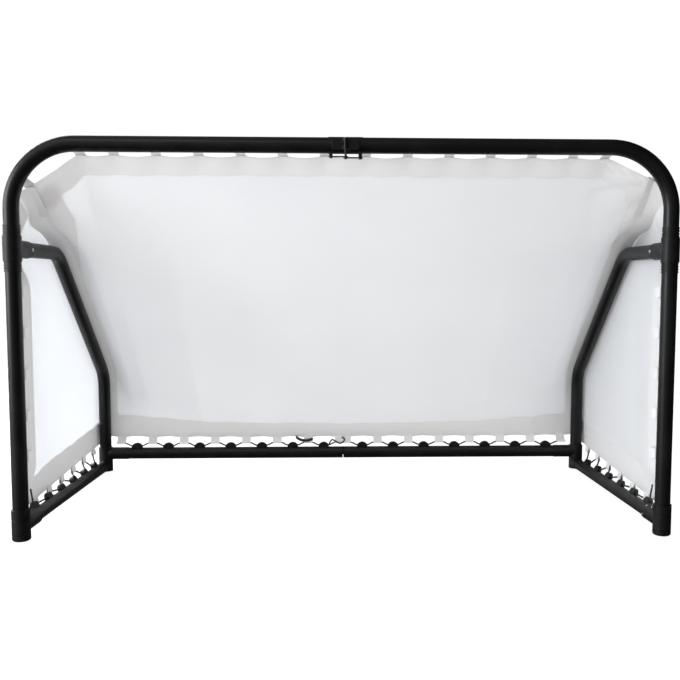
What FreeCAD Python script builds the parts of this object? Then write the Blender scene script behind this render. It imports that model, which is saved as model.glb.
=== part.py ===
import FreeCAD, Part
import math
import os

import Sketcher
from FreeCAD import Placement, Rotation, Vector

# A folding goal with a net: a round front frame in two halves that fold at the
# middle of the crossbar, two side frames that turn round the posts, and a rear
# ground bar in two halves that turn round the rear corners.
# Millimetres, +Z up, the mouth looks along -Y, the origin is on the floor under
# the middle of the goal. The left pieces are modelled and the right ones mirrored.

os.makedirs("parts", exist_ok=True)
doc = FreeCAD.newDocument("FoldingGoal")

# Driving sizes
SIZES = [
    ("goal_width", 1500, "over the outer faces of the posts"),
    ("goal_height", 900, "floor to the top of the crossbar"),
    ("goal_depth", 700, "post axis to rear corner axis"),
    ("frame_od", 35, "front frame and rear bar tube"),
    ("frame_wall", 1.5, "wall of the front frame tube"),
    ("bend_radius", 140, "axis radius of the top corners"),
    ("strut_od", 35, "bent strut tube"),
    ("strut_wall", 1.5, "wall of the strut tube"),
    ("strut_level", 294, "post axis to the strut's upper bend point"),
    ("strut_drop", 297, "height of the strut's lower bend point"),
    ("strut_upper_bend", 95, "axis radius of the upper bend"),
    ("strut_lower_bend", 85, "axis radius of the lower bend"),
    ("side_od", 32, "side ground tube"),
    ("side_wall", 1.5, "wall of the side ground tube"),
    ("side_front_height", 34, "axis height of the side tube at the post"),
    ("side_rear_height", 17, "axis height of the side tube at the rear corner"),
    ("rear_height", 54, "axis height of the rear bar"),
    ("rear_wall", 1.5, "wall of the rear bar"),
    ("tube_seat", 22, "tube end to the axis of the sleeve it goes into"),
    ("middle_gap", 1, "tube end to the middle plane of the goal"),
    ("sleeve_od", 41, "sleeves round the posts and corners"),
    ("sleeve_play", 0.3, "radial play of a turning sleeve"),
    ("end_play", 0.6, "gap between stacked pieces that turn"),
    ("foot_height", 12, "foot cap"),
    ("foot_floor", 4, "sole thickness of the foot cap"),
    ("foot_round", 5, "rounded edge of the sole"),
    ("lower_sleeve_length", 59, "lower T sleeve along the post"),
    ("upper_sleeve_length", 55, "upper T sleeve along the post"),
    ("groove_depth", 0.8, "ring groove of the lower T sleeve"),
    ("groove_width", 2, "ring groove of the lower T sleeve"),
    ("stub_od", 40, "stub of the upper T"),
    ("lower_stub_od", 39, "stub of the lower T"),
    ("stub_reach", 84, "end of the stub of the upper T from the post axis"),
    ("lower_stub_reach", 84, "end of the stub of the lower T from the post axis"),
    ("collar_od", 38, "ribbed collars on the post"),
    ("collar_length", 23, "ribbed collars on the post"),
    ("collar_waist", 1, "depth between the ribs of a collar"),
    ("collar_under_bend", 36.4, "upper collar below the start of the corner bend"),
    ("screw_head", 8, "screw in the upper stub"),
    ("screw_height", 2, "screw head above the stub"),
    ("screw_shank", 4, "screw shank"),
    ("screw_length", 9, "screw shank under the head"),
    ("screw_setback", 15, "screw axis to the end of the stub"),
    ("boot_height", 33.5, "corner boot"),
    ("boot_floor", 3, "sole of the corner boot"),
    ("boss_od", 33, "boss of the boot round the side tube"),
    ("boss_reach", 45, "end of the boss from the corner axis"),
    ("rear_sleeve_length", 38, "rear sleeve along the strut"),
    ("rear_stub_od", 37, "stub of the rear sleeve"),
    ("rear_stub_reach", 70, "end of the rear stub from the corner axis"),
    ("hinge_offset", 24, "hinge axis to the tube axis"),
    ("barrel_od", 9, "hinge knuckles"),
    ("barrel_length", 22, "all three knuckles"),
    ("pin_diameter", 5, "hinge pins"),
    ("pin_play", 0.05, "radial play of a pin in its knuckles"),
    ("pin_head", 9, "head of a hinge pin"),
    ("pin_head_height", 1.5, "head of a hinge pin"),
    ("knuckle_gap", 0.2, "gap between two knuckles"),
    ("hinge_collar_od", 37, "collar on the end of a crossbar half"),
    ("hinge_collar_length", 38, "collar on the end of a crossbar half"),
    ("hinge_face_gap", 0.3, "collar face to the middle plane"),
    ("leaf_start", 6, "hinge leaf to the pin axis"),
    ("leaf_length", 30, "far end of the hinge leaf from the pin axis"),
    ("leaf_thickness", 6.5, "hinge leaf"),
    ("strap_width", 11, "strap under the crossbar hinge"),
    ("strap_thickness", 2, "strap under the crossbar hinge"),
    ("strap_reach", 32, "strap bolt to the pin axis"),
    ("strap_drop", 26.8, "top of the upper strap under the tube axis"),
    ("strap_gap", 0.2, "gap between the two straps"),
    ("pad_length", 7, "pad that takes the strap bolt"),
    ("pad_depth", 30, "pad that takes the strap bolt"),
    ("pad_drop", 17, "top of the pad under the tube axis"),
    ("bolt_head", 7, "strap bolts"),
    ("bolt_head_height", 2.5, "strap bolts"),
    ("bolt_shank", 4, "strap bolts"),
    ("bolt_length", 9, "strap bolt shank above its head"),
    ("clip_width", 32, "net clip along its tube"),
    ("clip_rise", 14.5, "net clip above the tube"),
    ("clip_thickness", 12, "net clip across its tube"),
    ("clip_seat", 2, "net clip round the tube"),
    ("cord_clip_bore", 5, "channel for the cord in a clip"),
    ("cord_rise", 4, "cord channel above the tube"),
    ("frame_clip_rise", 8, "net clip behind the front frame"),
    ("frame_clip_width", 24, "net clip behind the front frame"),
    ("frame_clip_first", 51, "first clip of the crossbar from the middle"),
    ("frame_clip_pitch", 93, "clips of the crossbar"),
    ("post_clip_drop", 44, "upper clip of the plain post below the lower collar"),
    ("post_clip_pitch", 94, "clips of the post"),
    ("rear_clip_first", 60, "first clip of the rear bar from the middle"),
    ("rear_clip_pitch", 96, "clips of the rear bar"),
    ("side_clip_first", 104, "first clip of the side tube from the post axis"),
    ("side_clip_pitch", 98, "clips of the side tube"),
    ("side_clip_tilt", 20, "clips of the side tube turned outward, degrees"),
    ("cord_diameter", 4, "lacing cord"),
    ("tab_width", 26, "webbing tabs of the lower hems"),
    ("frame_tab_width", 22, "webbing tabs of the upper hem"),
    ("tab_clearance", 0.8, "upper tabs behind the clips"),
    ("tab_loop_od", 8.5, "webbing loop round the cord"),
    ("tab_loop_bore", 5, "bore of the webbing loop"),
    ("net_thickness", 2, "net with its hem"),
    ("net_gap", 0.5, "net to the tubes it lies on"),
    ("net_side_gap", 3.5, "side net to the outer face of the post"),
    ("net_setback", 28, "top hem behind the front frame's axis"),
    ("net_top_drop", 38, "upper edge of the net below the top of the crossbar"),
    ("net_shoulder_drop", 65, "upper edge of the net at the second corner tab, below the rest"),
    ("net_shoulder_run", 110, "second corner tab from the start of the bend"),
    ("net_side_drop", 92, "upper edge of the net at the side, below the rest"),
    ("net_bottom_rise", 45, "lower edge of the back net above the rear bar's axis"),
    ("side_net_rise_front", 15, "lower edge of the side net above the side tube at the post"),
    ("side_net_rise_rear", 60, "lower edge of the side net above the side tube at the rear"),
    ("net_swing", 20, "slack of the net above the strut"),
    ("net_lift", 10, "net above the upper bend of the strut"),
    ("net_round", 8, "net round the lower bend of the strut"),
    ("net_sag", 4.2, "sag of the back net"),
    ("net_rear_gap", 5, "lower edge of the back net behind the rear bar's axis"),
    ("cord_drop", 13, "cord below the lower edge of the back net"),
    ("side_cord_drop", 10, "cord below the lower edge of the side net"),
]

sheet = doc.addObject("Spreadsheet::Sheet", "Sizes")
for index, (alias, value, note) in enumerate(SIZES, start=1):
    sheet.set("A%d" % index, alias)
    sheet.set("B%d" % index, str(value))
    sheet.setAlias("B%d" % index, alias)
    sheet.set("C%d" % index, note)
doc.recompute()


class Size:
    """A length with its number and the expression that gives it."""

    def __init__(self, number, text):
        self.number = float(number)
        self.text = text

    def __add__(self, other):
        other = as_size(other)
        return Size(self.number + other.number, "(%s + %s)" % (self.text, other.text))

    def __sub__(self, other):
        other = as_size(other)
        return Size(self.number - other.number, "(%s - %s)" % (self.text, other.text))

    def __mul__(self, other):
        other = as_size(other)
        return Size(self.number * other.number, "(%s * %s)" % (self.text, other.text))

    def __truediv__(self, other):
        other = as_size(other)
        return Size(self.number / other.number, "(%s / %s)" % (self.text, other.text))

    def __neg__(self):
        return Size(-self.number, "(0 - %s)" % self.text)

    def __float__(self):
        return self.number

    __radd__ = __add__

    def __rsub__(self, other):
        return as_size(other) - self

    __rmul__ = __mul__


def as_size(value):
    if isinstance(value, Size):
        return value
    return Size(value, repr(float(value)))


def size(alias):
    return Size(getattr(sheet, alias), "Sizes.%s" % alias)


ZERO = as_size(0)

# Derived places
post_x = size("goal_width") / 2 - size("frame_od") / 2
bar_z = size("goal_height") - size("frame_od") / 2
front_y = -size("goal_depth") / 2
rear_y = size("goal_depth") / 2
side_fall = size("side_front_height") - size("side_rear_height")
strut_height = (
    bar_z - size("bend_radius") - size("collar_under_bend") - size("collar_length")
    - size("end_play") - size("upper_sleeve_length") / 2
)
sleeve_id = size("frame_od") + size("sleeve_play") * 2
rear_sleeve_id = size("strut_od") + size("sleeve_play") * 2

TURNED = {
    "z": Rotation(Vector(0, 0, 1), 0),
    "x": Rotation(Vector(0, 1, 0), 90),
    "y": Rotation(Vector(-1, 0, 0), 90),
}


def put(item, x, y, z):
    """Binds the place of an object to three sizes."""
    for letter, value in zip("xyz", (x, y, z)):
        item.setExpression("Placement.Base.%s" % letter, as_size(value).text)


def cylinder(name, diameter, length, axis, x, y, z):
    item = doc.addObject("Part::Cylinder", name)
    item.setExpression("Radius", (as_size(diameter) / 2).text)
    item.setExpression("Height", as_size(length).text)
    item.Placement = Placement(Vector(), TURNED[axis])
    put(item, x, y, z)
    return item


def sloped(name, diameter, start, length, x, y, z):
    """A cylinder along the side tube's axis, starting at a distance from x, y, z."""
    item = doc.addObject("Part::Cylinder", name)
    item.setExpression("Radius", (as_size(diameter) / 2).text)
    item.setExpression("Height", as_size(length).text)
    item.Placement = Placement(Vector(), Rotation(Vector(-1, 0, 0), 91))
    item.setExpression(
        "Placement.Rotation.Angle",
        "90 deg + atan2(%s; %s)" % (side_fall.text, size("goal_depth").text),
    )
    put(item, x, y + start, z - start * side_fall / size("goal_depth"))
    return item


def box(name, x, y, z, length, width, height):
    item = doc.addObject("Part::Box", name)
    item.setExpression("Length", as_size(length).text)
    item.setExpression("Width", as_size(width).text)
    item.setExpression("Height", as_size(height).text)
    put(item, x, y, z)
    return item


def fused(name, *items):
    item = doc.addObject("Part::MultiFuse", name)
    item.Shapes = list(items)
    item.Refine = True
    return item


def cut(name, base, tool):
    item = doc.addObject("Part::Cut", name)
    item.Base = base
    item.Tool = tool
    return item


def plane_of(body, role):
    for feature in body.Origin.OriginFeatures:
        if feature.Role == role:
            return feature
    raise ValueError(role)


def sketch_on(body, name, role):
    drawing = body.newObject("Sketcher::SketchObject", name)
    drawing.AttachmentSupport = [(plane_of(body, role), "")]
    drawing.MapMode = "FlatFace"
    return drawing


def fix_point(drawing, geometry, point, x, y):
    """Ties a sketch point to the axes or to two bound distances."""
    for kind, value, axis in (("DistanceX", as_size(x), -2), ("DistanceY", as_size(y), -1)):
        if value.text == ZERO.text:
            drawing.addConstraint(Sketcher.Constraint("PointOnObject", geometry, point, axis))
            continue
        number = drawing.addConstraint(
            Sketcher.Constraint(kind, -1, 1, geometry, point, value.number)
        )
        drawing.setExpression("Constraints[%d]" % number, value.text)


def ring(drawing, outer, inner):
    """Two circles round the sketch's origin."""
    for diameter in (outer, inner):
        circle = drawing.addGeometry(
            Part.Circle(Vector(), Vector(0, 0, 1), float(diameter) / 2), False
        )
        drawing.addConstraint(Sketcher.Constraint("Coincident", circle, 3, -1, 1))
        number = drawing.addConstraint(
            Sketcher.Constraint("Diameter", circle, float(diameter))
        )
        drawing.setExpression("Constraints[%d]" % number, diameter.text)


def polygon(drawing, points):
    """A closed outline through bound points."""
    count = len(points)
    for index in range(count):
        ends = [points[index], points[(index + 1) % count]]
        a, b = [Vector(float(as_size(p[0])), float(as_size(p[1])), 0) for p in ends]
        drawing.addGeometry(Part.LineSegment(a, b), False)
    for index in range(count):
        drawing.addConstraint(
            Sketcher.Constraint("Coincident", index, 2, (index + 1) % count, 1)
        )
    for index, point in enumerate(points):
        fix_point(drawing, index, 1, point[0], point[1])


def turned_piece(name, points):
    """A body of revolution round Z from points of radius and height."""
    body = doc.addObject("PartDesign::Body", name)
    drawing = sketch_on(body, name + "_profile", "XZ_Plane")
    polygon(drawing, points)
    turn = body.newObject("PartDesign::Revolution", name + "_turn")
    turn.Profile = drawing
    turn.ReferenceAxis = (drawing, ["V_Axis"])
    turn.Angle = 360
    doc.recompute()
    return body, turn


def round_rim(body, feature, radius, height, reach):
    """Rounds the circular edges that lie at a height and a radius."""
    names = []
    for index, edge in enumerate(feature.Shape.Edges, start=1):
        low, high = edge.BoundBox.ZMin, edge.BoundBox.ZMax
        flat = abs(low - float(height)) < 0.001 and abs(high - float(height)) < 0.001
        if flat and abs(edge.BoundBox.XMax - float(reach)) < 0.001:
            names.append("Edge%d" % index)
    fillet = body.newObject("PartDesign::Fillet", body.Name + "_round")
    fillet.Base = (feature, names)
    fillet.setExpression("Radius", as_size(radius).text)
    return fillet


def bent_tube(name, plane, start_role, corners, radii, outer, inner):
    """A hollow tube along straight runs joined by tangent arcs."""
    body = doc.addObject("PartDesign::Body", name)
    path = sketch_on(body, name + "_path", plane)
    points = [Vector(float(as_size(u)), float(as_size(v)), 0) for u, v in corners]
    # Tangent points of each bend, as first values for the sketch
    runs = []
    begin = points[0]
    arcs = []
    for index in range(1, len(points) - 1):
        into = (points[index] - points[index - 1]).normalize()
        away = (points[index + 1] - points[index]).normalize()
        turn = math.acos(max(-1.0, min(1.0, into.dot(away))))
        back = float(radii[index - 1]) * math.tan(turn / 2)
        first = points[index] - into * back
        last = points[index] + away * back
        across = Vector(-into.y, into.x, 0)
        leftward = across.dot(away) > 0
        if not leftward:
            across = across * -1
        centre = first + across * float(radii[index - 1])
        runs.append((begin, first))
        arcs.append((centre, first if leftward else last, last if leftward else first, leftward))
        begin = last
    runs.append((begin, points[-1]))
    for index, (a, b) in enumerate(runs):
        path.addGeometry(Part.LineSegment(a, b), False)
        if index < len(arcs):
            centre, low, high, leftward = arcs[index]
            circle = Part.Circle(centre, Vector(0, 0, 1), float(radii[index]))
            start = math.atan2(low.y - centre.y, low.x - centre.x)
            stop = math.atan2(high.y - centre.y, high.x - centre.x)
            path.addGeometry(Part.ArcOfCircle(circle, start, stop), False)
    last_line = 2 * (len(runs) - 1)
    fix_point(path, 0, 1, *corners[0])
    fix_point(path, last_line, 2, *corners[-1])
    for index in range(len(arcs)):
        line, arc, following = 2 * index, 2 * index + 1, 2 * index + 2
        arc_start = 1 if arcs[index][3] else 2
        path.addConstraint(Sketcher.Constraint("Tangent", line, 2, arc, arc_start))
        path.addConstraint(Sketcher.Constraint("Tangent", arc, 3 - arc_start, following, 1))
        number = path.addConstraint(Sketcher.Constraint("Radius", arc, float(radii[index])))
        path.setExpression("Constraints[%d]" % number, as_size(radii[index]).text)
        mark = path.addGeometry(Part.Point(points[index + 1]), True)
        path.addConstraint(Sketcher.Constraint("PointOnObject", mark, 1, line))
        path.addConstraint(Sketcher.Constraint("PointOnObject", mark, 1, following))
        if index == 0:
            fix_point(path, mark, 1, *corners[1])
        else:
            fix_point(path, mark, 1, *corners[index + 1])
    section = sketch_on(body, name + "_section", start_role)
    ring(section, outer, inner)
    doc.recompute()
    pipe = body.newObject("PartDesign::AdditivePipe", name + "_pipe")
    pipe.Profile = section
    pipe.Spine = (path, ["Edge%d" % (n + 1) for n in range(2 * len(runs) - 1)])
    doc.recompute()
    return body


pieces = {}

# Front frame tube: post, top corner and half of the crossbar in one bent tube
frame_tube = bent_tube(
    "left_front_tube",
    "XZ_Plane",
    "XY_Plane",
    [
        (ZERO, ZERO),
        (ZERO, bar_z - size("foot_floor")),
        (post_x - size("middle_gap"), bar_z - size("foot_floor")),
    ],
    [size("bend_radius")],
    size("frame_od"),
    size("frame_od") - size("frame_wall") * 2,
)
put(frame_tube, -post_x, front_y, size("foot_floor"))
pieces["left_front_tube"] = frame_tube

# Foot cap under the post
cap_r = size("sleeve_od") / 2
foot, foot_turn = turned_piece(
    "left_foot_cap",
    [
        (ZERO, ZERO),
        (cap_r, ZERO),
        (cap_r, size("foot_height")),
        (size("frame_od") / 2, size("foot_height")),
        (size("frame_od") / 2, size("foot_floor")),
        (ZERO, size("foot_floor")),
    ],
)
round_rim(foot, foot_turn, size("foot_round"), 0, cap_r)
put(foot, -post_x, front_y, ZERO)
pieces["left_foot_cap"] = foot

# Lower T: a sleeve that turns round the post, with a stub for the side tube
lower_z = size("foot_height") + size("end_play")
lower_body = cylinder(
    "lower_tee_sleeve", size("sleeve_od"), size("lower_sleeve_length"), "z",
    -post_x, front_y, lower_z,
)
lower_stub = sloped(
    "lower_tee_stub", size("lower_stub_od"), ZERO, size("lower_stub_reach"),
    -post_x, front_y, size("side_front_height"),
)
lower_groove = cylinder(
    "lower_tee_groove", size("sleeve_od") + 4, size("groove_width"), "z",
    -post_x, front_y, lower_z + size("lower_sleeve_length") * 0.6,
)
lower_groove_core = cylinder(
    "lower_tee_core", size("sleeve_od") - size("groove_depth") * 2, size("lower_sleeve_length"),
    "z", -post_x, front_y, lower_z,
)
lower_ring = cut("lower_tee_ring", lower_groove, lower_groove_core)
lower_solid = fused("lower_tee_solid", cut("lower_tee_grooved", lower_body, lower_ring), lower_stub)
lower_bores = fused(
    "lower_tee_bores",
    cylinder(
        "lower_tee_bore", sleeve_id, size("goal_height"), "z", -post_x, front_y, ZERO,
    ),
    sloped(
        "lower_tee_socket", size("side_od"), size("tube_seat"), size("goal_depth") / 2,
        -post_x, front_y, size("side_front_height"),
    ),
)
pieces["left_lower_tee"] = cut("left_lower_tee", lower_solid, lower_bores)

# Upper T: a sleeve between two ribbed collars, with a stub for the strut
upper_z = strut_height - size("upper_sleeve_length") / 2
upper_solid = fused(
    "upper_tee_solid",
    cylinder(
        "upper_tee_sleeve", size("sleeve_od"), size("upper_sleeve_length"), "z",
        -post_x, front_y, upper_z,
    ),
    cylinder(
        "upper_tee_stub", size("stub_od"), size("stub_reach"), "y",
        -post_x, front_y, strut_height,
    ),
)
screw_y = front_y + size("stub_reach") - size("screw_setback")
upper_bores = fused(
    "upper_tee_bores",
    cylinder("upper_tee_bore", sleeve_id, size("goal_height"), "z", -post_x, front_y, ZERO),
    cylinder(
        "upper_tee_socket", size("strut_od"), size("goal_depth") / 2, "y",
        -post_x, front_y + size("tube_seat"), strut_height,
    ),
    cylinder(
        "upper_tee_screw_hole", size("screw_shank"), size("stub_od"), "x",
        -post_x, screw_y, strut_height,
    ),
)
pieces["left_upper_tee"] = cut("left_upper_tee", upper_solid, upper_bores)

# Ribbed collars that hold the upper T at its height
collar_r = size("collar_od") / 2
waist_r = collar_r - size("collar_waist")
bore_r = size("frame_od") / 2
rib = size("collar_length") / 7
collar_points = [(bore_r, ZERO), (collar_r, ZERO)]
for number in range(3):
    collar_points.append((collar_r, rib * (2 * number + 1)))
    collar_points.append((waist_r, rib * (2 * number + 1)))
    collar_points.append((waist_r, rib * (2 * number + 2)))
    collar_points.append((collar_r, rib * (2 * number + 2)))
collar_points.append((collar_r, size("collar_length")))
collar_points.append((bore_r, size("collar_length")))
for name, height in (
    ("left_upper_collar", upper_z + size("upper_sleeve_length") + size("end_play")),
    ("left_lower_collar", upper_z - size("end_play") - size("collar_length")),
):
    collar, collar_turn = turned_piece(name, collar_points)
    put(collar, -post_x, front_y, height)
    pieces[name] = collar

# Screw that holds the strut in its stub
shank_start = size("stub_od") / 2 - size("screw_length") + size("screw_height")
pieces["left_strut_screw"] = fused(
    "left_strut_screw",
    cylinder(
        "strut_screw_head", size("screw_head"), size("screw_height"), "x",
        -post_x + size("stub_od") / 2, screw_y, strut_height,
    ),
    cylinder(
        "strut_screw_shank", size("screw_shank"), size("screw_length"), "x",
        -post_x + size("stub_od") / 2 - size("screw_length"), screw_y, strut_height,
    ),
)

# Strut: level behind the post, down the slope of the net, upright at the corner
strut_start = size("tube_seat")
strut_tube = bent_tube(
    "strut_bent_tube",
    "YZ_Plane",
    "XZ_Plane",
    [
        (ZERO, ZERO),
        (size("strut_level") - strut_start, ZERO),
        (size("goal_depth") - strut_start, size("strut_drop") - strut_height),
        (size("goal_depth") - strut_start, size("boot_floor") - strut_height),
    ],
    [size("strut_upper_bend"), size("strut_lower_bend")],
    size("strut_od"),
    size("strut_od") - size("strut_wall") * 2,
)
put(strut_tube, -post_x, front_y + strut_start, strut_height)
pieces["left_strut_tube"] = cut(
    "left_strut_tube",
    strut_tube,
    cylinder(
        "strut_screw_hole", size("screw_shank"), size("stub_od"), "x",
        -post_x, screw_y, strut_height,
    ),
)

# Side ground tube, falling gently to the rear corner
run_length = size("goal_depth") - size("tube_seat") * 2
pieces["left_side_tube"] = cut(
    "left_side_tube",
    sloped(
        "side_tube_outside", size("side_od"), size("tube_seat"), run_length,
        -post_x, front_y, size("side_front_height"),
    ),
    sloped(
        "side_tube_inside", size("side_od") - size("side_wall") * 2, size("tube_seat"),
        run_length + 1, -post_x, front_y, size("side_front_height"),
    ),
)

# Corner boot: carries the strut's foot and the rear end of the side tube
boot_solid = fused(
    "boot_solid",
    cylinder("boot_body", size("sleeve_od"), size("boot_height"), "z", -post_x, rear_y, ZERO),
    sloped(
        "boot_boss", size("boss_od"), size("goal_depth") - size("boss_reach"), size("boss_reach"),
        -post_x, front_y, size("side_front_height"),
    ),
)
boot_bores = fused(
    "boot_bores",
    cylinder(
        "boot_strut_bore", size("strut_od"), size("goal_height"), "z",
        -post_x, rear_y, size("boot_floor"),
    ),
    sloped(
        "boot_side_bore", size("side_od"), size("goal_depth") / 2,
        size("goal_depth") / 2 - size("tube_seat"),
        -post_x, front_y, size("side_front_height"),
    ),
)
pieces["left_corner_boot"] = cut("left_corner_boot", boot_solid, boot_bores)

# Rear sleeve: turns round the strut's upright foot and carries the rear bar
rear_sleeve_z = size("rear_height") - size("rear_sleeve_length") / 2
rear_solid = fused(
    "rear_sleeve_solid",
    cylinder(
        "rear_sleeve_body", size("sleeve_od"), size("rear_sleeve_length"), "z",
        -post_x, rear_y, rear_sleeve_z,
    ),
    cylinder(
        "rear_sleeve_stub", size("rear_stub_od"), size("rear_stub_reach"), "x",
        -post_x, rear_y, size("rear_height"),
    ),
)
rear_bores = fused(
    "rear_sleeve_bores",
    cylinder("rear_sleeve_bore", rear_sleeve_id, size("goal_height"), "z", -post_x, rear_y, ZERO),
    cylinder(
        "rear_sleeve_socket", size("frame_od"), size("goal_width") / 4, "x",
        -post_x + size("tube_seat"), rear_y, size("rear_height"),
    ),
)
pieces["left_rear_sleeve"] = cut("left_rear_sleeve", rear_solid, rear_bores)

# Rear bar half
rear_run = post_x - size("tube_seat") - size("middle_gap")
pieces["left_rear_tube"] = cut(
    "left_rear_tube",
    cylinder(
        "rear_tube_outside", size("frame_od"), rear_run, "x",
        -post_x + size("tube_seat"), rear_y, size("rear_height"),
    ),
    cylinder(
        "rear_tube_inside", size("frame_od") - size("rear_wall") * 2, rear_run + 1, "x",
        -post_x + size("tube_seat"), rear_y, size("rear_height"),
    ),
)

# Hinge halves: knuckles and a leaf, on a collar at the front, on a saddle at the rear
knuckle = (size("barrel_length") - size("knuckle_gap") * 2) / 3
KNUCKLES = {"left": (0, 2), "right": (1,)}


def hinge_half(label, side, way, tube_y, height, collared, strap_level):
    """One half of a hinge; way is -1 in front of the tube and 1 behind it."""
    sign = -1 if side == "left" else 1
    pin_y = tube_y + size("hinge_offset") * way
    low = height - size("barrel_length") / 2
    solids = []
    for number in KNUCKLES[side]:
        base = low + (knuckle + size("knuckle_gap")) * number
        solids.append(
            cylinder("%s_knuckle%d" % (label, number), size("barrel_od"), knuckle, "z",
                     ZERO, pin_y, base)
        )
        web = size("leaf_start") + 1
        solids.append(
            box(
                "%s_web%d" % (label, number),
                -web if sign < 0 else ZERO,
                pin_y if way < 0 else pin_y - size("barrel_od") / 2,
                base, web, size("barrel_od") / 2, knuckle,
            )
        )
    leaf_run = size("leaf_length") - size("leaf_start")
    leaf_near = pin_y + 1.5 if way < 0 else pin_y - 1.5 - size("leaf_thickness")
    solids.append(
        box(
            "%s_leaf" % label,
            -size("leaf_length") if sign < 0 else size("leaf_start"),
            leaf_near, low, leaf_run, size("leaf_thickness"), size("barrel_length"),
        )
    )
    bores = [
        cylinder(
            "%s_pin_bore" % label, size("pin_diameter") + size("pin_play") * 2,
            size("goal_height"), "z", ZERO, pin_y, ZERO,
        )
    ]
    if collared:
        face = size("hinge_face_gap")
        run = size("hinge_collar_length") - face
        solids.append(
            cylinder(
                "%s_collar" % label, size("hinge_collar_od"), run, "x",
                -size("hinge_collar_length") if sign < 0 else face, tube_y, height,
            )
        )
        pad_y = pin_y - size("strap_width") / 2
        solids.append(
            box(
                "%s_pad" % label,
                (size("strap_reach") - size("pad_length") / 2) if sign > 0
                else -size("strap_reach") - size("pad_length") / 2,
                pad_y, strap_level, size("pad_length"), size("pad_depth"),
                height - size("pad_drop") - strap_level,
            )
        )
        bores.append(
            cylinder(
                "%s_bolt_hole" % label, size("bolt_shank"), size("bolt_length"), "z",
                size("strap_reach") * sign, pin_y, strap_level - size("strap_thickness"),
            )
        )
    bores.append(
        cylinder(
            "%s_tube_bore" % label, size("frame_od"), size("goal_width") / 4, "x",
            -size("goal_width") / 4 - size("middle_gap") if sign < 0 else size("middle_gap"),
            tube_y, height,
        )
    )
    return cut(label, fused(label + "_solid", *solids), fused(label + "_bores", *bores))


strap_top = bar_z - size("strap_drop")
strap_step = size("strap_thickness") + size("strap_gap")
for side, level in (("left", strap_top), ("right", strap_top - strap_step)):
    name = "%s_hinge_collar" % side
    pieces[name] = hinge_half(name, side, -1, front_y, bar_z, True, level)
    name = "%s_rear_hinge_leaf" % side
    pieces[name] = hinge_half(name, side, 1, rear_y, size("rear_height"), False, ZERO)

    # Strap from the pad to the hinge pin, and its bolt
    sign = -1 if side == "left" else 1
    pin_y = front_y - size("hinge_offset")
    strap_low = level - size("strap_thickness")
    strap_bar = box(
        "%s_strap_bar" % side, -size("strap_reach") if sign < 0 else ZERO,
        pin_y - size("strap_width") / 2, strap_low,
        size("strap_reach"), size("strap_width"), size("strap_thickness"),
    )
    strap_ends = [
        cylinder(
            "%s_strap_end%d" % (side, number), size("strap_width"), size("strap_thickness"), "z",
            size("strap_reach") * sign * number, pin_y, strap_low,
        )
        for number in (0, 1)
    ]
    strap_holes = fused(
        "%s_strap_holes" % side,
        cylinder(
            "%s_strap_pin_hole" % side, size("pin_diameter") + size("pin_play") * 2,
            size("goal_height"), "z", ZERO, pin_y, ZERO,
        ),
        cylinder(
            "%s_strap_bolt_hole" % side, size("bolt_shank"), size("goal_height"), "z",
            size("strap_reach") * sign, pin_y, ZERO,
        ),
    )
    name = "%s_hinge_strap" % side
    pieces[name] = cut(name, fused("%s_strap_solid" % side, strap_bar, *strap_ends), strap_holes)
    name = "%s_strap_bolt" % side
    pieces[name] = fused(
        name,
        cylinder(
            "%s_bolt_head" % side, size("bolt_head"), size("bolt_head_height"), "z",
            size("strap_reach") * sign, pin_y, strap_low - size("bolt_head_height"),
        ),
        cylinder(
            "%s_bolt_shank" % side, size("bolt_shank"), size("bolt_length"), "z",
            size("strap_reach") * sign, pin_y, strap_low,
        ),
    )

# Hinge pins
barrel_low = bar_z - size("barrel_length") / 2
pin_low = strap_top - strap_step - size("strap_thickness") - size("bolt_head_height")
pieces["crossbar_hinge_pin"] = fused(
    "crossbar_hinge_pin",
    cylinder(
        "crossbar_pin_shank", size("pin_diameter"), barrel_low + size("barrel_length") - pin_low,
        "z", ZERO, front_y - size("hinge_offset"), pin_low,
    ),
    cylinder(
        "crossbar_pin_head", size("pin_head"), size("pin_head_height"), "z",
        ZERO, front_y - size("hinge_offset"), barrel_low + size("barrel_length"),
    ),
)
rear_low = size("rear_height") - size("barrel_length") / 2
pieces["rear_hinge_pin"] = fused(
    "rear_hinge_pin",
    cylinder(
        "rear_pin_shank", size("pin_diameter"), size("barrel_length") + size("pin_head_height"),
        "z", ZERO, rear_y + size("hinge_offset"), rear_low - size("pin_head_height"),
    ),
    cylinder(
        "rear_pin_head", size("pin_head"), size("pin_head_height"), "z",
        ZERO, rear_y + size("hinge_offset"), rear_low + size("barrel_length"),
    ),
)
doc.recompute()


# Net clips. One dome clip is drawn on a tube along X and copied to its places.
def value(alias):
    return float(getattr(sheet, alias))


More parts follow.
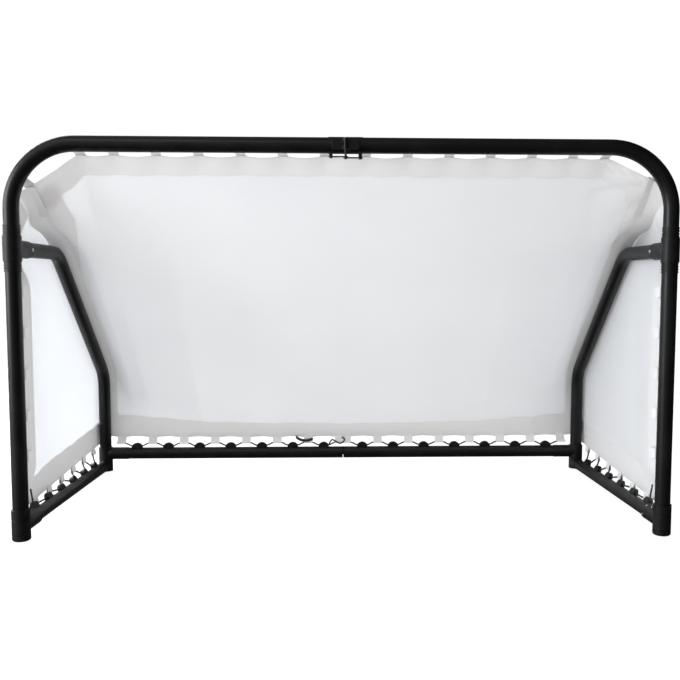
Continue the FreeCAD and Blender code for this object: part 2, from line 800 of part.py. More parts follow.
def dome_clip(tube_od, width, rise, bored):
    """A dome on the top of a tube along X, centred on the tube's axis."""
    half = width / 2
    radius = tube_od / 2
    top = radius + rise
    seat = radius - value("clip_seat")
    left, right = Vector(-half, 0, seat), Vector(half, 0, seat)
    shoulder = radius + rise * 0.25
    wire = Part.Wire(
        [
            Part.LineSegment(left, right).toShape(),
            Part.LineSegment(right, Vector(half, 0, shoulder)).toShape(),
            Part.Arc(
                Vector(half, 0, shoulder), Vector(0, 0, top), Vector(-half, 0, shoulder)
            ).toShape(),
            Part.LineSegment(Vector(-half, 0, shoulder), left).toShape(),
        ]
    )
    solid = Part.Face(wire).extrude(Vector(0, value("clip_thickness"), 0))
    solid.translate(Vector(0, -value("clip_thickness") / 2, 0))
    tube = Part.makeCylinder(radius, value("clip_width") * 2, Vector(-value("clip_width"), 0, 0),
                             Vector(1, 0, 0))
    solid = solid.cut(tube)
    if bored:
        bore = Part.makeCylinder(
            value("cord_clip_bore") / 2, value("clip_width") * 2,
            Vector(-value("clip_width"), 0, radius + value("cord_rise")), Vector(1, 0, 0),
        )
        solid = solid.cut(bore)
    return solid


def group(name, shapes):
    item = doc.addObject("Part::Feature", name)
    item.Shape = Part.makeCompound(shapes) if len(shapes) > 1 else shapes[0]
    return item


def moved(shape, place):
    copy = shape.copy()
    copy.Placement = place.multiply(copy.Placement)
    return copy


# Clips behind the front frame hold the webbing tabs of the net
# A clip on the bend sits a little proud, because its seat is straight
bend_ease = Vector(0, 0.35, 0)
frame_clip = dome_clip(
    value("frame_od"), value("frame_clip_width"), value("frame_clip_rise"), False
)
backward = Rotation(Vector(1, 0, 0), -90)
frame_clips = []
bend_end = float(post_x) - value("bend_radius")
place_x = value("frame_clip_first")
crossbar_places = []
while place_x + value("frame_clip_width") / 2 < bend_end:
    crossbar_places.append(place_x)
    place_x += value("frame_clip_pitch")
for place_x in crossbar_places:
    frame_clips.append(
        moved(frame_clip, Placement(Vector(-place_x, float(front_y), float(bar_z)), backward))
    )
corner = Vector(-bend_end, float(front_y), float(bar_z) - value("bend_radius"))
CORNER_TABS = (8, 62)
for angle in CORNER_TABS:
    turn = Rotation(Vector(0, 1, 0), -angle).multiply(backward)
    out = Vector(
        -math.sin(math.radians(angle)), 0, math.cos(math.radians(angle))
    ) * value("bend_radius")
    frame_clips.append(moved(frame_clip, Placement(corner + out + bend_ease, turn)))
upright = Rotation(Vector(0, 1, 0), -90).multiply(backward)
post_places = []
height = float(upper_z - size("end_play") - size("collar_length")) - value("post_clip_drop")
while height > float(lower_z) + value("lower_sleeve_length") + value("frame_clip_width"):
    post_places.append(height)
    height -= value("post_clip_pitch")
for height in post_places:
    frame_clips.append(
        moved(frame_clip, Placement(Vector(-float(post_x), float(front_y), height), upright))
    )
pieces["left_frame_net_clips"] = group("left_frame_net_clips", frame_clips)

# Clips on the rear bar
rear_clip = dome_clip(value("frame_od"), value("clip_width"), value("clip_rise"), True)
rear_places = []
place_x = value("rear_clip_first")
stub_end = float(post_x) - value("rear_stub_reach")
while place_x + value("clip_width") / 2 < stub_end:
    rear_places.append(place_x)
    place_x += value("rear_clip_pitch")
pieces["left_rear_net_clips"] = group(
    "left_rear_net_clips",
    [
        moved(rear_clip, Placement(Vector(-x, float(rear_y), value("rear_height")), Rotation()))
        for x in rear_places
    ],
)

# Clips on the side tube, turned outward
side_clip = dome_clip(value("side_od"), value("clip_width"), value("clip_rise"), True)
slope = math.atan2(float(side_fall), value("goal_depth"))


def side_axis(distance):
    """A point of the side tube's axis at a distance behind the post."""
    fall = float(side_fall) * distance / value("goal_depth")
    return Vector(-float(post_x), float(front_y) + distance, value("side_front_height") - fall)


side_places = []
place_y = value("side_clip_first")
while place_y + value("clip_width") < value("goal_depth") - value("boss_reach"):
    side_places.append(place_y)
    place_y += value("side_clip_pitch")
along = Rotation(Vector(1, 0, 0), -math.degrees(slope)).multiply(Rotation(Vector(0, 0, 1), 90))
outward = along.multiply(Rotation(Vector(1, 0, 0), -value("side_clip_tilt")))
pieces["left_side_net_clips"] = group(
    "left_side_net_clips",
    [moved(side_clip, Placement(side_axis(y), outward)) for y in side_places],
)


# Lacing cords run through the clips and the webbing loops of the hems
def cord(points):
    """A round cord through straight runs with mitred bends."""
    wire = Part.makePolygon(points)
    start = (points[1] - points[0]).normalize()
    circle = Part.Wire(
        [Part.Circle(points[0], start, value("cord_diameter") / 2).toShape()]
    )
    shell = wire.makePipeShell([circle], True, False, 1)
    return shell


def webbing_loop(centre, direction):
    """The loop of a webbing tab round the cord."""
    length = value("tab_width")
    start = centre - direction * (length / 2)
    outer = Part.makeCylinder(value("tab_loop_od") / 2, length, start, direction)
    inner = Part.makeCylinder(
        value("tab_loop_bore") / 2, length * 2, start - direction * (length / 2), direction
    )
    return outer, inner


net_bottom = value("rear_height") + value("net_bottom_rise")
loop_z = net_bottom - value("cord_drop")
rear_cord_z = value("rear_height") + value("frame_od") / 2 + value("cord_rise")
rear_tabs = [x + value("rear_clip_pitch") / 2 for x in rear_places]
rear_tabs.insert(0, value("rear_clip_first") - value("rear_clip_pitch") / 2)
channel = value("clip_width") / 2 + 2
tab_half = value("tab_width") / 2
tab_reach = tab_half + 2
route = []
for number, x in enumerate(rear_tabs):
    route.append(Vector(-(x - tab_reach) if number else -1.5, float(rear_y), loop_z))
    route.append(Vector(-(x + tab_reach), float(rear_y), loop_z))
    if number < len(rear_places):
        clip_x = rear_places[number]
        route.append(Vector(-(clip_x - channel), float(rear_y), rear_cord_z))
        route.append(Vector(-(clip_x + channel), float(rear_y), rear_cord_z))
pieces["left_rear_lacing"] = group("left_rear_lacing", [cord(route)])

net_inner_x = value("goal_width") / 2 + value("net_side_gap")
net_middle_x = net_inner_x + value("net_thickness") / 2
side_tabs = [y + value("side_clip_pitch") / 2 for y in side_places]


def side_hem(distance):
    """Lower edge of the side net at a distance behind the post."""
    share = distance / value("goal_depth")
    front_edge = value("side_front_height") + value("side_net_rise_front")
    rear_edge = value("side_rear_height") + value("side_net_rise_rear")
    return front_edge + (rear_edge - front_edge) * share


def side_cord_point(distance, bound):
    """A point of the side lacing, in a clip when bound, otherwise in a tab."""
    if bound:
        base = side_axis(distance)
        radius = value("side_od") / 2 + value("cord_rise")
        return base + outward.multVec(Vector(0, 0, radius))
    return Vector(-net_middle_x, float(front_y) + distance, side_hem(distance) - value("side_cord_drop"))


route = []
for number, y in enumerate(side_places):
    route.append(side_cord_point(y - channel, True))
    route.append(side_cord_point(y + channel, True))
    route.append(side_cord_point(side_tabs[number] - tab_reach, False))
    route.append(side_cord_point(side_tabs[number] + tab_reach, False))
pieces["left_side_lacing"] = group("left_side_lacing", [cord(route)])

# Side net: a flat panel outside the side frame, with tabs to the post clips
thick = value("net_thickness")
setback = value("net_setback")
strut_clear = value("strut_od") / 2 + value("net_gap")
slope_run = value("goal_depth") - value("strut_level")
slope_rise = float(strut_height) - value("strut_drop")
slope_length = math.hypot(slope_run, slope_rise)
lift = Vector(0, slope_rise / slope_length, slope_run / slope_length) * strut_clear
upper_bend = Vector(0, value("strut_level"), float(strut_height))
lower_bend = Vector(0, value("goal_depth"), value("strut_drop"))
rear_face = value("goal_depth") + strut_clear


net_top = value("goal_height") - value("net_top_drop")
net_side_top = net_top - value("net_side_drop")


def over_strut(top):
    """Profile of the net where it lies over the strut: distance and height."""
    on_slope = upper_bend + lift
    down_slope = lower_bend + lift
    fall = math.atan2(slope_rise, slope_run)
    turn = math.radians(90) - fall
    back = value("strut_lower_bend") * math.tan(turn / 2)
    along_slope = (down_slope - on_slope).normalize()
    before_bend = down_slope - along_slope * (back + value("net_round") * 0.75)
    middle = on_slope + (before_bend - on_slope) * 0.5
    centre = Vector(
        0, value("goal_depth") - value("strut_lower_bend"), value("strut_drop") - back
    )
    angle = turn / 2
    out = value("strut_lower_bend") + strut_clear + value("net_round")
    over_bend = centre + Vector(0, math.cos(angle), math.sin(angle)) * out
    return [
        (setback, top),
        ((setback + on_slope.y) / 2 - value("net_swing"), (net_side_top + on_slope.z) / 2 + thick),
        (on_slope.y - value("net_lift"), on_slope.z + value("net_lift")),
        (middle.y, middle.z),
        (before_bend.y, before_bend.z),
        (over_bend.y, over_bend.z),
        (rear_face, value("strut_drop") - back - value("net_round")),
        (rear_face, net_bottom),
    ]


def straight_back(top):
    """Profile of the net in the middle: a plain slope with a slight sag."""
    rear = value("goal_depth") + value("net_rear_gap")
    shares = (0, 0.2, 0.42, 0.6, 0.77, 0.84, 0.91, 1)
    points = []
    for share in shares:
        sag = math.sin(math.pi * share) * value("net_sag")
        points.append(
            (
                setback + (rear - setback) * share - sag,
                top + (net_bottom - top) * share - sag,
            )
        )
    return points


# Stations across the goal: distance from the middle, share of the strut's lift
net_shares = [(0, 0.0), (0.34, 0.02), (0.59, 0.1), (0.805, 0.38), (0.88, 0.6), (0.955, 1.0)]
STATIONS = [(float(post_x) * place, share) for place, share in net_shares]


def hem_top(x):
    """Upper edge of the back net, which cuts the round corners."""
    first = float(post_x) - value("bend_radius")
    second = first + value("net_shoulder_run")
    if x <= first:
        return net_top
    if x <= second:
        share = (x - first) / (second - first)
        return net_top - value("net_shoulder_drop") * share
    share = (x - second) / (net_inner_x - second)
    lowest = value("net_side_drop") - value("net_shoulder_drop")
    return net_top - value("net_shoulder_drop") - lowest * share


def profile_at(x, share):
    middle = straight_back(hem_top(x))
    side = over_strut(hem_top(x))
    return [
        (a[0] + (b[0] - a[0]) * share, a[1] + (b[1] - a[1]) * share)
        for a, b in zip(middle, side)
    ]


def strip(x, points):
    """A closed section of the net across its thickness."""
    skin = Vector(0, 0.66, 0.75) * thick
    low = [Vector(-x, float(front_y) + y, z) for y, z in points]
    high = [point + skin for point in reversed(low)]
    return Part.makePolygon(low + high + [low[0]])


def back_net(first, last):
    stations = STATIONS + [(float(post_x) + strut_clear, 1.0), (net_inner_x - value("net_gap"), 1.0)]
    stations[0] = (0.5, 0.0)
    sections = []
    for x, share in stations:
        sections.append(strip(x, profile_at(x, share)[first:last]))
    solids = []
    return Part.makeLoft(sections, True, True)


def hem_distance(x):
    """Distance of the back net's lower edge behind the post axis."""
    stations = STATIONS + [(float(post_x) + strut_clear, 1.0), (net_inner_x, 1.0)]
    for (x0, s0), (x1, s1) in zip(stations, stations[1:]):
        if x0 <= x <= x1:
            y0, y1 = profile_at(x0, s0)[-1][0], profile_at(x1, s1)[-1][0]
            return y0 + (y1 - y0) * (x - x0) / (x1 - x0)
    return rear_face


upper_net = back_net(0, 4)
upper_tabs = []
tab_near = float(front_y) + value("frame_od") / 2 + value("frame_clip_rise") + value("tab_clearance")
tab_places = [(x, float(bar_z)) for x in crossbar_places]
for angle in CORNER_TABS:
    out_x = math.sin(math.radians(angle)) * value("bend_radius")
    out_z = math.cos(math.radians(angle)) * value("bend_radius")
    tab_places.append((bend_end + out_x, corner.z + out_z))
for x, z in tab_places:
    foot_z = min(hem_top(x), hem_top(x + value("frame_tab_width") / 2)) - 6
    upper_tabs.append(
        Part.makeBox(
            value("frame_tab_width"),
            float(front_y) + setback + 2.5 - tab_near,
            z + value("frame_clip_width") / 4 - foot_z,
            Vector(-x - value("frame_tab_width") / 2, tab_near, foot_z),
        )
    )
upper_net = upper_net.multiFuse(upper_tabs)
lower_net = back_net(3, 8)
tab_shapes = []
tab_bores = []
hem_z = net_bottom
for x in rear_tabs:
    first_x = min(-x + tab_half, -0.5)
    length = first_x + x + tab_half
    loop_centre = Vector(first_x - length / 2, float(rear_y), loop_z)
    outer = Part.makeCylinder(
        value("tab_loop_od") / 2, length, Vector(-x - tab_half, float(rear_y), loop_z),
        Vector(1, 0, 0),
    )
    inner = Part.makeCylinder(
        value("tab_loop_bore") / 2, length * 3,
        Vector(-x - tab_half - length, float(rear_y), loop_z), Vector(1, 0, 0),
    )
    near = float(front_y) + hem_distance(x)
    corners = [
        Vector(-x - tab_half, float(rear_y) + 1, loop_z),
        Vector(-x - tab_half, near - 1, hem_z + 1),
        Vector(-x - tab_half, near + 1.2, hem_z + 1),
        Vector(-x - tab_half, float(rear_y) + 3.8, loop_z),
    ]
    plate = Part.Face(Part.makePolygon(corners + [corners[0]])).extrude(Vector(length, 0, 0))
    tab_shapes += [outer, plate]
    tab_bores.append(inner)
lower_net = lower_net.multiFuse(tab_shapes).cut(tab_bores)
pieces["left_upper_back_net"] = group("left_upper_back_net", [upper_net])
pieces["left_lower_back_net"] = group("left_lower_back_net", [lower_net])

outline = over_strut(net_side_top)
panel_points = [
    Vector(-net_inner_x, float(front_y) + y, z)
    for y, z in [(setback, side_hem(setback))] + outline + [(rear_face, side_hem(rear_face))]
]
panel = Part.Face(Part.makePolygon(panel_points + [panel_points[0]]))
panel = panel.extrude(Vector(-thick, 0, 0))
shapes = []
bores = []
for y in side_tabs:
    centre = side_cord_point(y, False)
    outer, inner = webbing_loop(centre, Vector(0, 1, 0))
    shapes.append(outer)
    shapes.append(
        Part.makeBox(
            thick, value("tab_width"), side_hem(y) + 2 - centre.z,
            Vector(-net_inner_x - thick, centre.y - tab_half, centre.z),
        )
    )
    bores.append(inner)
side_net = panel.multiFuse(shapes).cut(bores)
pieces["left_side_net"] = group("left_side_net", [side_net])
pieces["left_post_tabs"] = group(
    "left_post_tabs",
    [
        Part.makeBox(
            net_inner_x - float(post_x) + value("clip_thickness") / 2, thick, value("tab_width"),
            Vector(-net_inner_x, float(front_y) + setback, height - tab_half),
        )
        for height in post_places
    ],
)
doc.recompute()

# Right-hand pieces mirror the left-hand ones
MIRRORED = [name for name in pieces if name.startswith("left_")]
for name in MIRRORED:
    twin = name.replace("left_", "right_", 1)
    if twin in pieces:
        continue
    mirror = doc.addObject("Part::Mirroring", twin)
    mirror.Source = pieces[name]
    mirror.Base = Vector()
    mirror.Normal = Vector(1, 0, 0)
    pieces[twin] = mirror
doc.recompute()

# Checks, then one STEP file for each piece
for item in doc.Objects:
    if "Invalid" in item.State or "Error" in item.State:
        raise RuntimeError("%s: %s" % (item.Name, item.State))
for name, item in pieces.items():
    item.Label = name
    if item.Shape.isNull() or not item.Shape.isValid():
        raise RuntimeError("%s has no valid shape" % name)
    if not item.Shape.Solids:
        raise RuntimeError("%s has no solid" % name)
    if item.Shape.Volume <= 0:
        raise RuntimeError("%s is inside out" % name)
    item.Shape.exportStep("parts/%s.step" % name)
    print("%s solids %d volume %.0f" % (name, len(item.Shape.Solids), item.Shape.Volume))
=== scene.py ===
import bpy
import bmesh
import math
from mathutils import Matrix, Vector, noise


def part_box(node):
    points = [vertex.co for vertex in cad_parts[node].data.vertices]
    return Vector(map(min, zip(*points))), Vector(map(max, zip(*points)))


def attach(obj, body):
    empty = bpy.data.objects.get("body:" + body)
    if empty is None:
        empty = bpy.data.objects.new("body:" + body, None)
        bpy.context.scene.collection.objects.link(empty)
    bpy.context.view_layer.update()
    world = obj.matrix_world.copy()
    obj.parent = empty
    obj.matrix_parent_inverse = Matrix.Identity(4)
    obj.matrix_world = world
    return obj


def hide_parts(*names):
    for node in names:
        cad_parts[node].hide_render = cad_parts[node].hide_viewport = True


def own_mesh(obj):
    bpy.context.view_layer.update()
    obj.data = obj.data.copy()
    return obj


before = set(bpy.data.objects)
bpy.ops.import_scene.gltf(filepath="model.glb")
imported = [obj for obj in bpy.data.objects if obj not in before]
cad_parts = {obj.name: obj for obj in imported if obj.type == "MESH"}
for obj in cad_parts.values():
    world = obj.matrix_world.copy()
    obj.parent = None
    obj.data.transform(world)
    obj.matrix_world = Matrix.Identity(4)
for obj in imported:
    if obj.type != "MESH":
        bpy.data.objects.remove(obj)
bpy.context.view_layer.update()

# Camera
# It stands in front of the goal, a little left of its middle and lower than the crossbar,
# and looks slightly down and to the right, so that the left post is the nearer one. The shift
# is the photograph's own framing, which is cut off centre.
eye = Vector((-0.0223, -2.2214, 0.5838))
look_down = 0.0826
look_aside = -0.0339
tilt = -0.0014
camera_data = bpy.data.cameras.new("camera")
camera_data.lens = 44.2
camera_data.sensor_width = 36.0
camera_data.shift_x = -0.0353
camera_data.shift_y = 0.0157
camera = bpy.data.objects.new("camera", camera_data)
camera.rotation_euler = (math.radians(90) - look_down, tilt, look_aside)
camera.location = eye
bpy.context.scene.collection.objects.link(camera)
bpy.context.scene.camera = camera

# Studio
# A white floor that runs out into a white backdrop. The light is dimmer on the right, and the
# tubes mirror a dark room on their right. Four soft lights stand on the left, in front, behind,
# low down and above, because the left net glows with light that comes through it.
floor_radius = 14
floor_under_feet = 0.0005
floor_grey = (0.2, 0.2, 0.2, 1)
floor_glow = 0.92
floor_mesh = bmesh.new()
bmesh.ops.create_circle(floor_mesh, cap_ends=True, segments=96, radius=floor_radius)
bmesh.ops.translate(floor_mesh, verts=floor_mesh.verts, vec=(0, 0, -floor_under_feet))
floor_data = bpy.data.meshes.new("studio_floor")
floor_mesh.to_mesh(floor_data)
floor_mesh.free()
floor = bpy.data.objects.new("studio_floor", floor_data)
bpy.context.scene.collection.objects.link(floor)
floor_paint = bpy.data.materials.new("studio_floor")
floor_paint.use_nodes = True
floor_shader = floor_paint.node_tree.nodes["Principled BSDF"]
floor_shader.inputs["Base Color"].default_value = floor_grey
floor_shader.inputs["Roughness"].default_value = 0.9
floor_shader.inputs["Emission Color"].default_value = (1, 1, 1, 1)
floor_shader.inputs["Emission Strength"].default_value = floor_glow
floor_data.materials.append(floor_paint)
floor.visible_glossy = False

backdrop = 1.02
rear_light = (0.34, 0.84)
front_light = (0.50, 0.56)
mirrored_light = (0.02, 0.50)
light_from_below = 0.10
mirrored_from_below = 0.04
warm_white = (1.0, 0.99, 0.97)
cool_white = (0.93, 0.97, 1.0)
pale_white = (0.97, 0.99, 1.0)
surround = bpy.data.worlds.new("studio")
surround.use_nodes = True
sky = surround.node_tree


def sky_step(value, start, end, low, high):
    """A smooth step of the surrounding light from one direction to another."""
    step = sky.nodes.new("ShaderNodeMapRange")
    step.interpolation_type = "SMOOTHSTEP"
    sky.links.new(value, step.inputs["Value"])
    step.inputs["From Min"].default_value = start
    step.inputs["From Max"].default_value = end
    for socket, bound in (("To Min", low), ("To Max", high)):
        if isinstance(bound, float):
            step.inputs[socket].default_value = bound
        else:
            sky.links.new(bound, step.inputs[socket])
    return step.outputs["Result"]


direction = sky.nodes.new("ShaderNodeTexCoord")
ways = sky.nodes.new("ShaderNodeSeparateXYZ")
sky.links.new(direction.outputs["Generated"], ways.inputs["Vector"])
behind = sky_step(ways.outputs["X"], 0.8, -0.8, *rear_light)
before = sky_step(ways.outputs["X"], 0.8, -0.8, *front_light)
around = sky_step(ways.outputs["Y"], -0.35, 0.35, before, behind)
above = sky_step(ways.outputs["Z"], -0.45, -0.1, light_from_below, around)
mirrored = sky_step(ways.outputs["X"], 0.6, -0.8, *mirrored_light)
mirrored = sky_step(ways.outputs["Z"], -0.6, 0.1, mirrored_from_below, mirrored)
rays = sky.nodes.new("ShaderNodeLightPath")
met = sky_step(rays.outputs["Is Glossy Ray"], 0.0, 1.0, above, mirrored)
seen = sky_step(rays.outputs["Is Camera Ray"], 0.0, 1.0, met, backdrop)
sky.links.new(seen, sky.nodes["Background"].inputs["Strength"])
sky.nodes["Background"].inputs["Color"].default_value = (1, 1, 1, 1)
bpy.context.scene.world = surround
bpy.context.scene.view_settings.view_transform = "Standard"


def soft_light(name, place, target, across, power, colour):
    """A flat lamp that faces a point."""
    lamp = bpy.data.lights.new(name, "AREA")
    lamp.color = colour
    lamp.shape = "RECTANGLE"
    lamp.size = across[0]
    lamp.size_y = across[1]
    lamp.energy = power
    holder = bpy.data.objects.new(name, lamp)
    holder.location = place
    aim = Vector(target) - Vector(place)
    holder.rotation_euler = aim.to_track_quat("-Z", "Y").to_euler()
    bpy.context.scene.collection.objects.link(holder)


soft_light("light_left", (-3.2, -1.5, 1.1), (0.4, 0.0, 0.5), (1.8, 1.6), 90, cool_white)
soft_light("light_behind", (-2.3, 1.3, 1.7), (-0.6, 0.0, 0.5), (1.6, 1.6), 66, warm_white)
soft_light("light_low", (-1.7, 0.95, 0.4), (-0.55, 0.1, 0.35), (0.9, 0.8), 27, pale_white)
soft_light("light_above", (-1.2, -2.4, 3.0), (0, 0, 0.5), (1.8, 1.2), 14, warm_white)

# Front frame, struts and ground bars
# Round steel tube, bent cold and powder coated in satin black. The coat has a fine orange peel,
# small dull patches and a little dust, but no bare metal.
SIDES = {"left": -1, "right": 1}
satin_shine = 0.34
coat_black = (0.0024, 0.0024, 0.0028, 1)
coat_worn = (0.006, 0.006, 0.0065, 1)


class Wire:
    """An output of a node, so that shader maths reads as an ordinary expression."""

    def __init__(self, finish, socket):
        self.finish = finish
        self.socket = socket

    def maths(self, operation, first, second):
        return self.finish.node("ShaderNodeMath", {"operation": operation}, {0: first, 1: second})

    def __add__(self, other):
        return self.maths("ADD", self, other)

    def __sub__(self, other):
        return self.maths("SUBTRACT", self, other)

    def __mul__(self, other):
        return self.maths("MULTIPLY", self, other)

    def __rsub__(self, other):
        return self.maths("SUBTRACT", other, self)

    def above(self, edge, softness):
        """0 under the edge and 1 over it, with a soft step between."""
        return self.finish.node(
            "ShaderNodeMapRange",
            {"interpolation_type": "SMOOTHSTEP"},
            {0: self, 1: edge - softness, 2: edge + softness, 3: 0.0, 4: 1.0},
        )

    def wave(self):
        return self.finish.node("ShaderNodeMath", {"operation": "SINE"}, {0: self})

    def size(self):
        return self.finish.node("ShaderNodeMath", {"operation": "ABSOLUTE"}, {0: self})

    __radd__ = __add__
    __rmul__ = __mul__


class Finish:
    """A material made of nodes, with one shader that all of them feed."""

    def __init__(self, name, colour, roughness):
        self.material = bpy.data.materials.new(name)
        self.material.use_nodes = True
        self.tree = self.material.node_tree
        self.shader = self.tree.nodes["Principled BSDF"]
        self.set("Base Color", colour)
        self.set("Roughness", roughness)

    def feed(self, socket, value):
        if isinstance(value, Wire):
            self.tree.links.new(value.socket, socket)
        else:
            socket.default_value = value

    def set(self, socket, value):
        self.feed(self.shader.inputs[socket], value)

    def node(self, kind, settings=None, inputs=None, output=0):
        made = self.tree.nodes.new(kind)
        for key, value in (settings or {}).items():
            setattr(made, key, value)
        for key, value in (inputs or {}).items():
            self.feed(made.inputs[key], value)
        return Wire(self, made.outputs[output])

    def place(self):
        """Object coordinates, which are the goal's own metres."""
        return self.node("ShaderNodeTexCoord", output="Object")

    def kept(self, name):
        """A value kept at the points of a mesh."""
        return self.node("ShaderNodeAttribute", {"attribute_name": name}, output="Fac")

    def part_of(self, vector, axis):
        return self.node("ShaderNodeSeparateXYZ", inputs={0: vector}, output=axis)

    def grain(self, scale, detail=2.0):
        """Cloudy noise from 0 to 1."""
        inputs = {"Vector": self.place(), "Scale": scale, "Detail": detail}
        return self.node("ShaderNodeTexNoise", inputs=inputs)

    def weave(self, lengthwise, upward):
        """A wave that runs slantwise round a piece, for woven and braided threads."""
        place = self.place()
        return (
            self.part_of(place, 0) * lengthwise
            + self.part_of(place, 1) * lengthwise
            + self.part_of(place, 2) * upward
        ).wave()

    def blend(self, share, first, second):
        """A colour between two colours."""
        return self.node(
            "ShaderNodeMix", {"data_type": "RGBA"}, {0: share, 6: first, 7: second}, output=2
        )

    def relief(self, height, distance, strength, under=None):
        """Bumps of a height, on top of another relief where there is one."""
        inputs = {"Height": height, "Distance": distance, "Strength": strength}
        if under:
            inputs["Normal"] = under
        return self.node("ShaderNodeBump", inputs=inputs)


def powder_coat(name, peel_scale, roughness, colour, worn):
    """Black powder coat with orange peel, duller patches and specks of dust."""
    finish = Finish(name, colour, roughness)
    patches = finish.grain(9.0, 3.0).above(0.56, 0.12)
    specks = finish.grain(420.0, 1.0).above(0.72, 0.05)
    finish.set("Base Color", finish.blend(patches * 0.45 + specks * 0.2, colour, worn))
    finish.set("Roughness", roughness + patches * 0.07 + finish.grain(60.0) * 0.05)
    finish.set("Normal", finish.relief(finish.grain(peel_scale, 1.0), 0.00008, 0.5))
    finish.set("Specular IOR Level", satin_shine)
    return finish.material


def dress(node, material):
    """Gives a CAD piece its finish."""
    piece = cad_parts[node]
    piece.data.materials.clear()
    piece.data.materials.append(material)


coat = powder_coat("satin_powder_coat", 900.0, 0.36, coat_black, coat_worn)
for side in SIDES:
    for part in ("front_tube", "strut_tube", "side_tube", "rear_tube"):
        dress("%s_%s" % (side, part), coat)

# Moulded fittings
# T sleeves, foot caps, ribbed collars, corner boots and rear sleeves, injection moulded
# in black plastic with a fine spark-eroded grain and slightly greyer rubbed edges.
plastic_black = (0.0028, 0.0028, 0.0032, 1)
plastic_rubbed = (0.010, 0.010, 0.011, 1)


def moulded(name, grain_scale, roughness, colour, rubbed, radius):
    """Grained black plastic with scuffs and edges that look rounded to a radius."""
    finish = Finish(name, colour, roughness)
    scuffs = finish.grain(35.0, 4.0).above(0.6, 0.1)
    finish.set("Base Color", finish.blend(scuffs * 0.35, colour, rubbed))
    finish.set("Roughness", roughness + scuffs * 0.1)
    soft = finish.node("ShaderNodeBevel", {"samples": 4}, {"Radius": radius})
    finish.set("Normal", finish.relief(finish.grain(grain_scale, 2.0), 0.00006, 0.6, soft))
    finish.set("Specular IOR Level", satin_shine)
    return finish.material


fitting_plastic = moulded("grained_plastic", 1500.0, 0.46, plastic_black, plastic_rubbed, 0.0012)
for side in SIDES:
    for part in (
        "foot_cap", "upper_collar", "lower_collar", "upper_tee", "lower_tee",
        "corner_boot", "rear_sleeve", "hinge_collar",
    ):
        dress("%s_%s" % (side, part), fitting_plastic)

# Hinge straps, leaves and pins
# Pressed steel straps and leaves with a thin black coat that is rubbed at the knuckles,
# held by black bolts. The pins are black with a domed head.
hinge_black = (0.006, 0.006, 0.0065, 1)
hinge_rubbed = (0.022, 0.022, 0.023, 1)
bolt_black = (0.009, 0.009, 0.01, 1)
bolt_rubbed = (0.03, 0.03, 0.032, 1)
hinge_coat = powder_coat("hinge_coat", 1300.0, 0.42, hinge_black, hinge_rubbed)
pin_coat = powder_coat("black_bolt", 1600.0, 0.3, bolt_black, bolt_rubbed)
for side in SIDES:
    dress(side + "_hinge_strap", hinge_coat)
    dress(side + "_rear_hinge_leaf", hinge_coat)
    dress(side + "_strap_bolt", pin_coat)
dress("crossbar_hinge_pin", pin_coat)
dress("rear_hinge_pin", pin_coat)

# Screws of the T fittings
# Bright steel pan head screws with a cross recess, the only bright metal on the goal. One sits
# on each upper stub, and three smaller ones sit on the left of each lower T.
screw_steel = (0.62, 0.61, 0.6, 1)
upper_screw_radius = 0.004
upper_screw_height = 0.0022
upper_screw_sunk = 0.002
lower_screw_height = 0.0016
post_x = 0.7325
# Each lower screw has its distance to the left of the post, its y and z, its radius and the way it faces.
lower_screws = (
    (0.0205, -0.3412, 0.0620, 0.0030, (-0.9028, 0.43, 0)),
    (0.0098, -0.2800, 0.0493, 0.0027, (-0.5, 0, 0.866)),
    (0.0192, -0.2778, 0.0280, 0.0030, (-1, 0, 0)),
)
steel = Finish("bright_screw_steel", screw_steel, 0.28)
steel.set("Metallic", 1.0)
steel.set("Roughness", 0.24 + steel.grain(700.0) * 0.1)


def place_piece(name, data, material, body):
    """Puts a mesh in the scene as a finished piece that rides on a body."""
    data.materials.clear()
    data.materials.append(material)
    for face in data.polygons:
        face.use_smooth = True
    piece = bpy.data.objects.new(name, data)
    bpy.context.scene.collection.objects.link(piece)
    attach(piece, body)
    return piece


def link(name, mesh, material, body):
    """Makes a finished piece from a bmesh."""
    data = bpy.data.meshes.new(name)
    mesh.to_mesh(data)
    mesh.free()
    return place_piece(name, data, material, body)


def pan_head(radius, height):
    """A screw head with a domed top and a cross recess, standing on z 0."""
    head = bmesh.new()
    bmesh.ops.create_circle(head, cap_ends=True, segments=32, radius=radius)
    top = head.faces[:]
    for grow, lift in ((1.0, 0.55), (0.86, 0.3), (0.5, 0.13), (0.3, 0.02)):
        raised = bmesh.ops.extrude_discrete_faces(head, faces=top)
        top = raised["faces"]
        ring = top[0].verts[:]
        bmesh.ops.translate(head, verts=ring, vec=(0, 0, height * lift))
        middle = sum((v.co for v in ring), Vector()) / len(ring)
        for v in ring:
            away = v.co - middle
            v.co = middle + away.normalized() * radius * grow
    for v in top[0].verts:
        turn = math.atan2(v.co.y, v.co.x)
        arm = abs(math.cos(2 * turn))
        v.co.x *= 0.405 + arm * 0.675
        v.co.y *= 0.405 + arm * 0.675
    pit = bmesh.ops.extrude_discrete_faces(head, faces=top)
    bmesh.ops.translate(head, verts=pit["faces"][0].verts[:], vec=(0, 0, -height * 0.7))
    bmesh.ops.recalc_face_normals(head, faces=head.faces[:])
    return head


def screw(name, head, centre, turn, side):
    """Sets a screw head in its place on a side frame."""
    bmesh.ops.transform(head, matrix=Matrix.Translation(centre) @ turn, verts=head.verts)
    return link(name, head, steel.material, side + "_side")


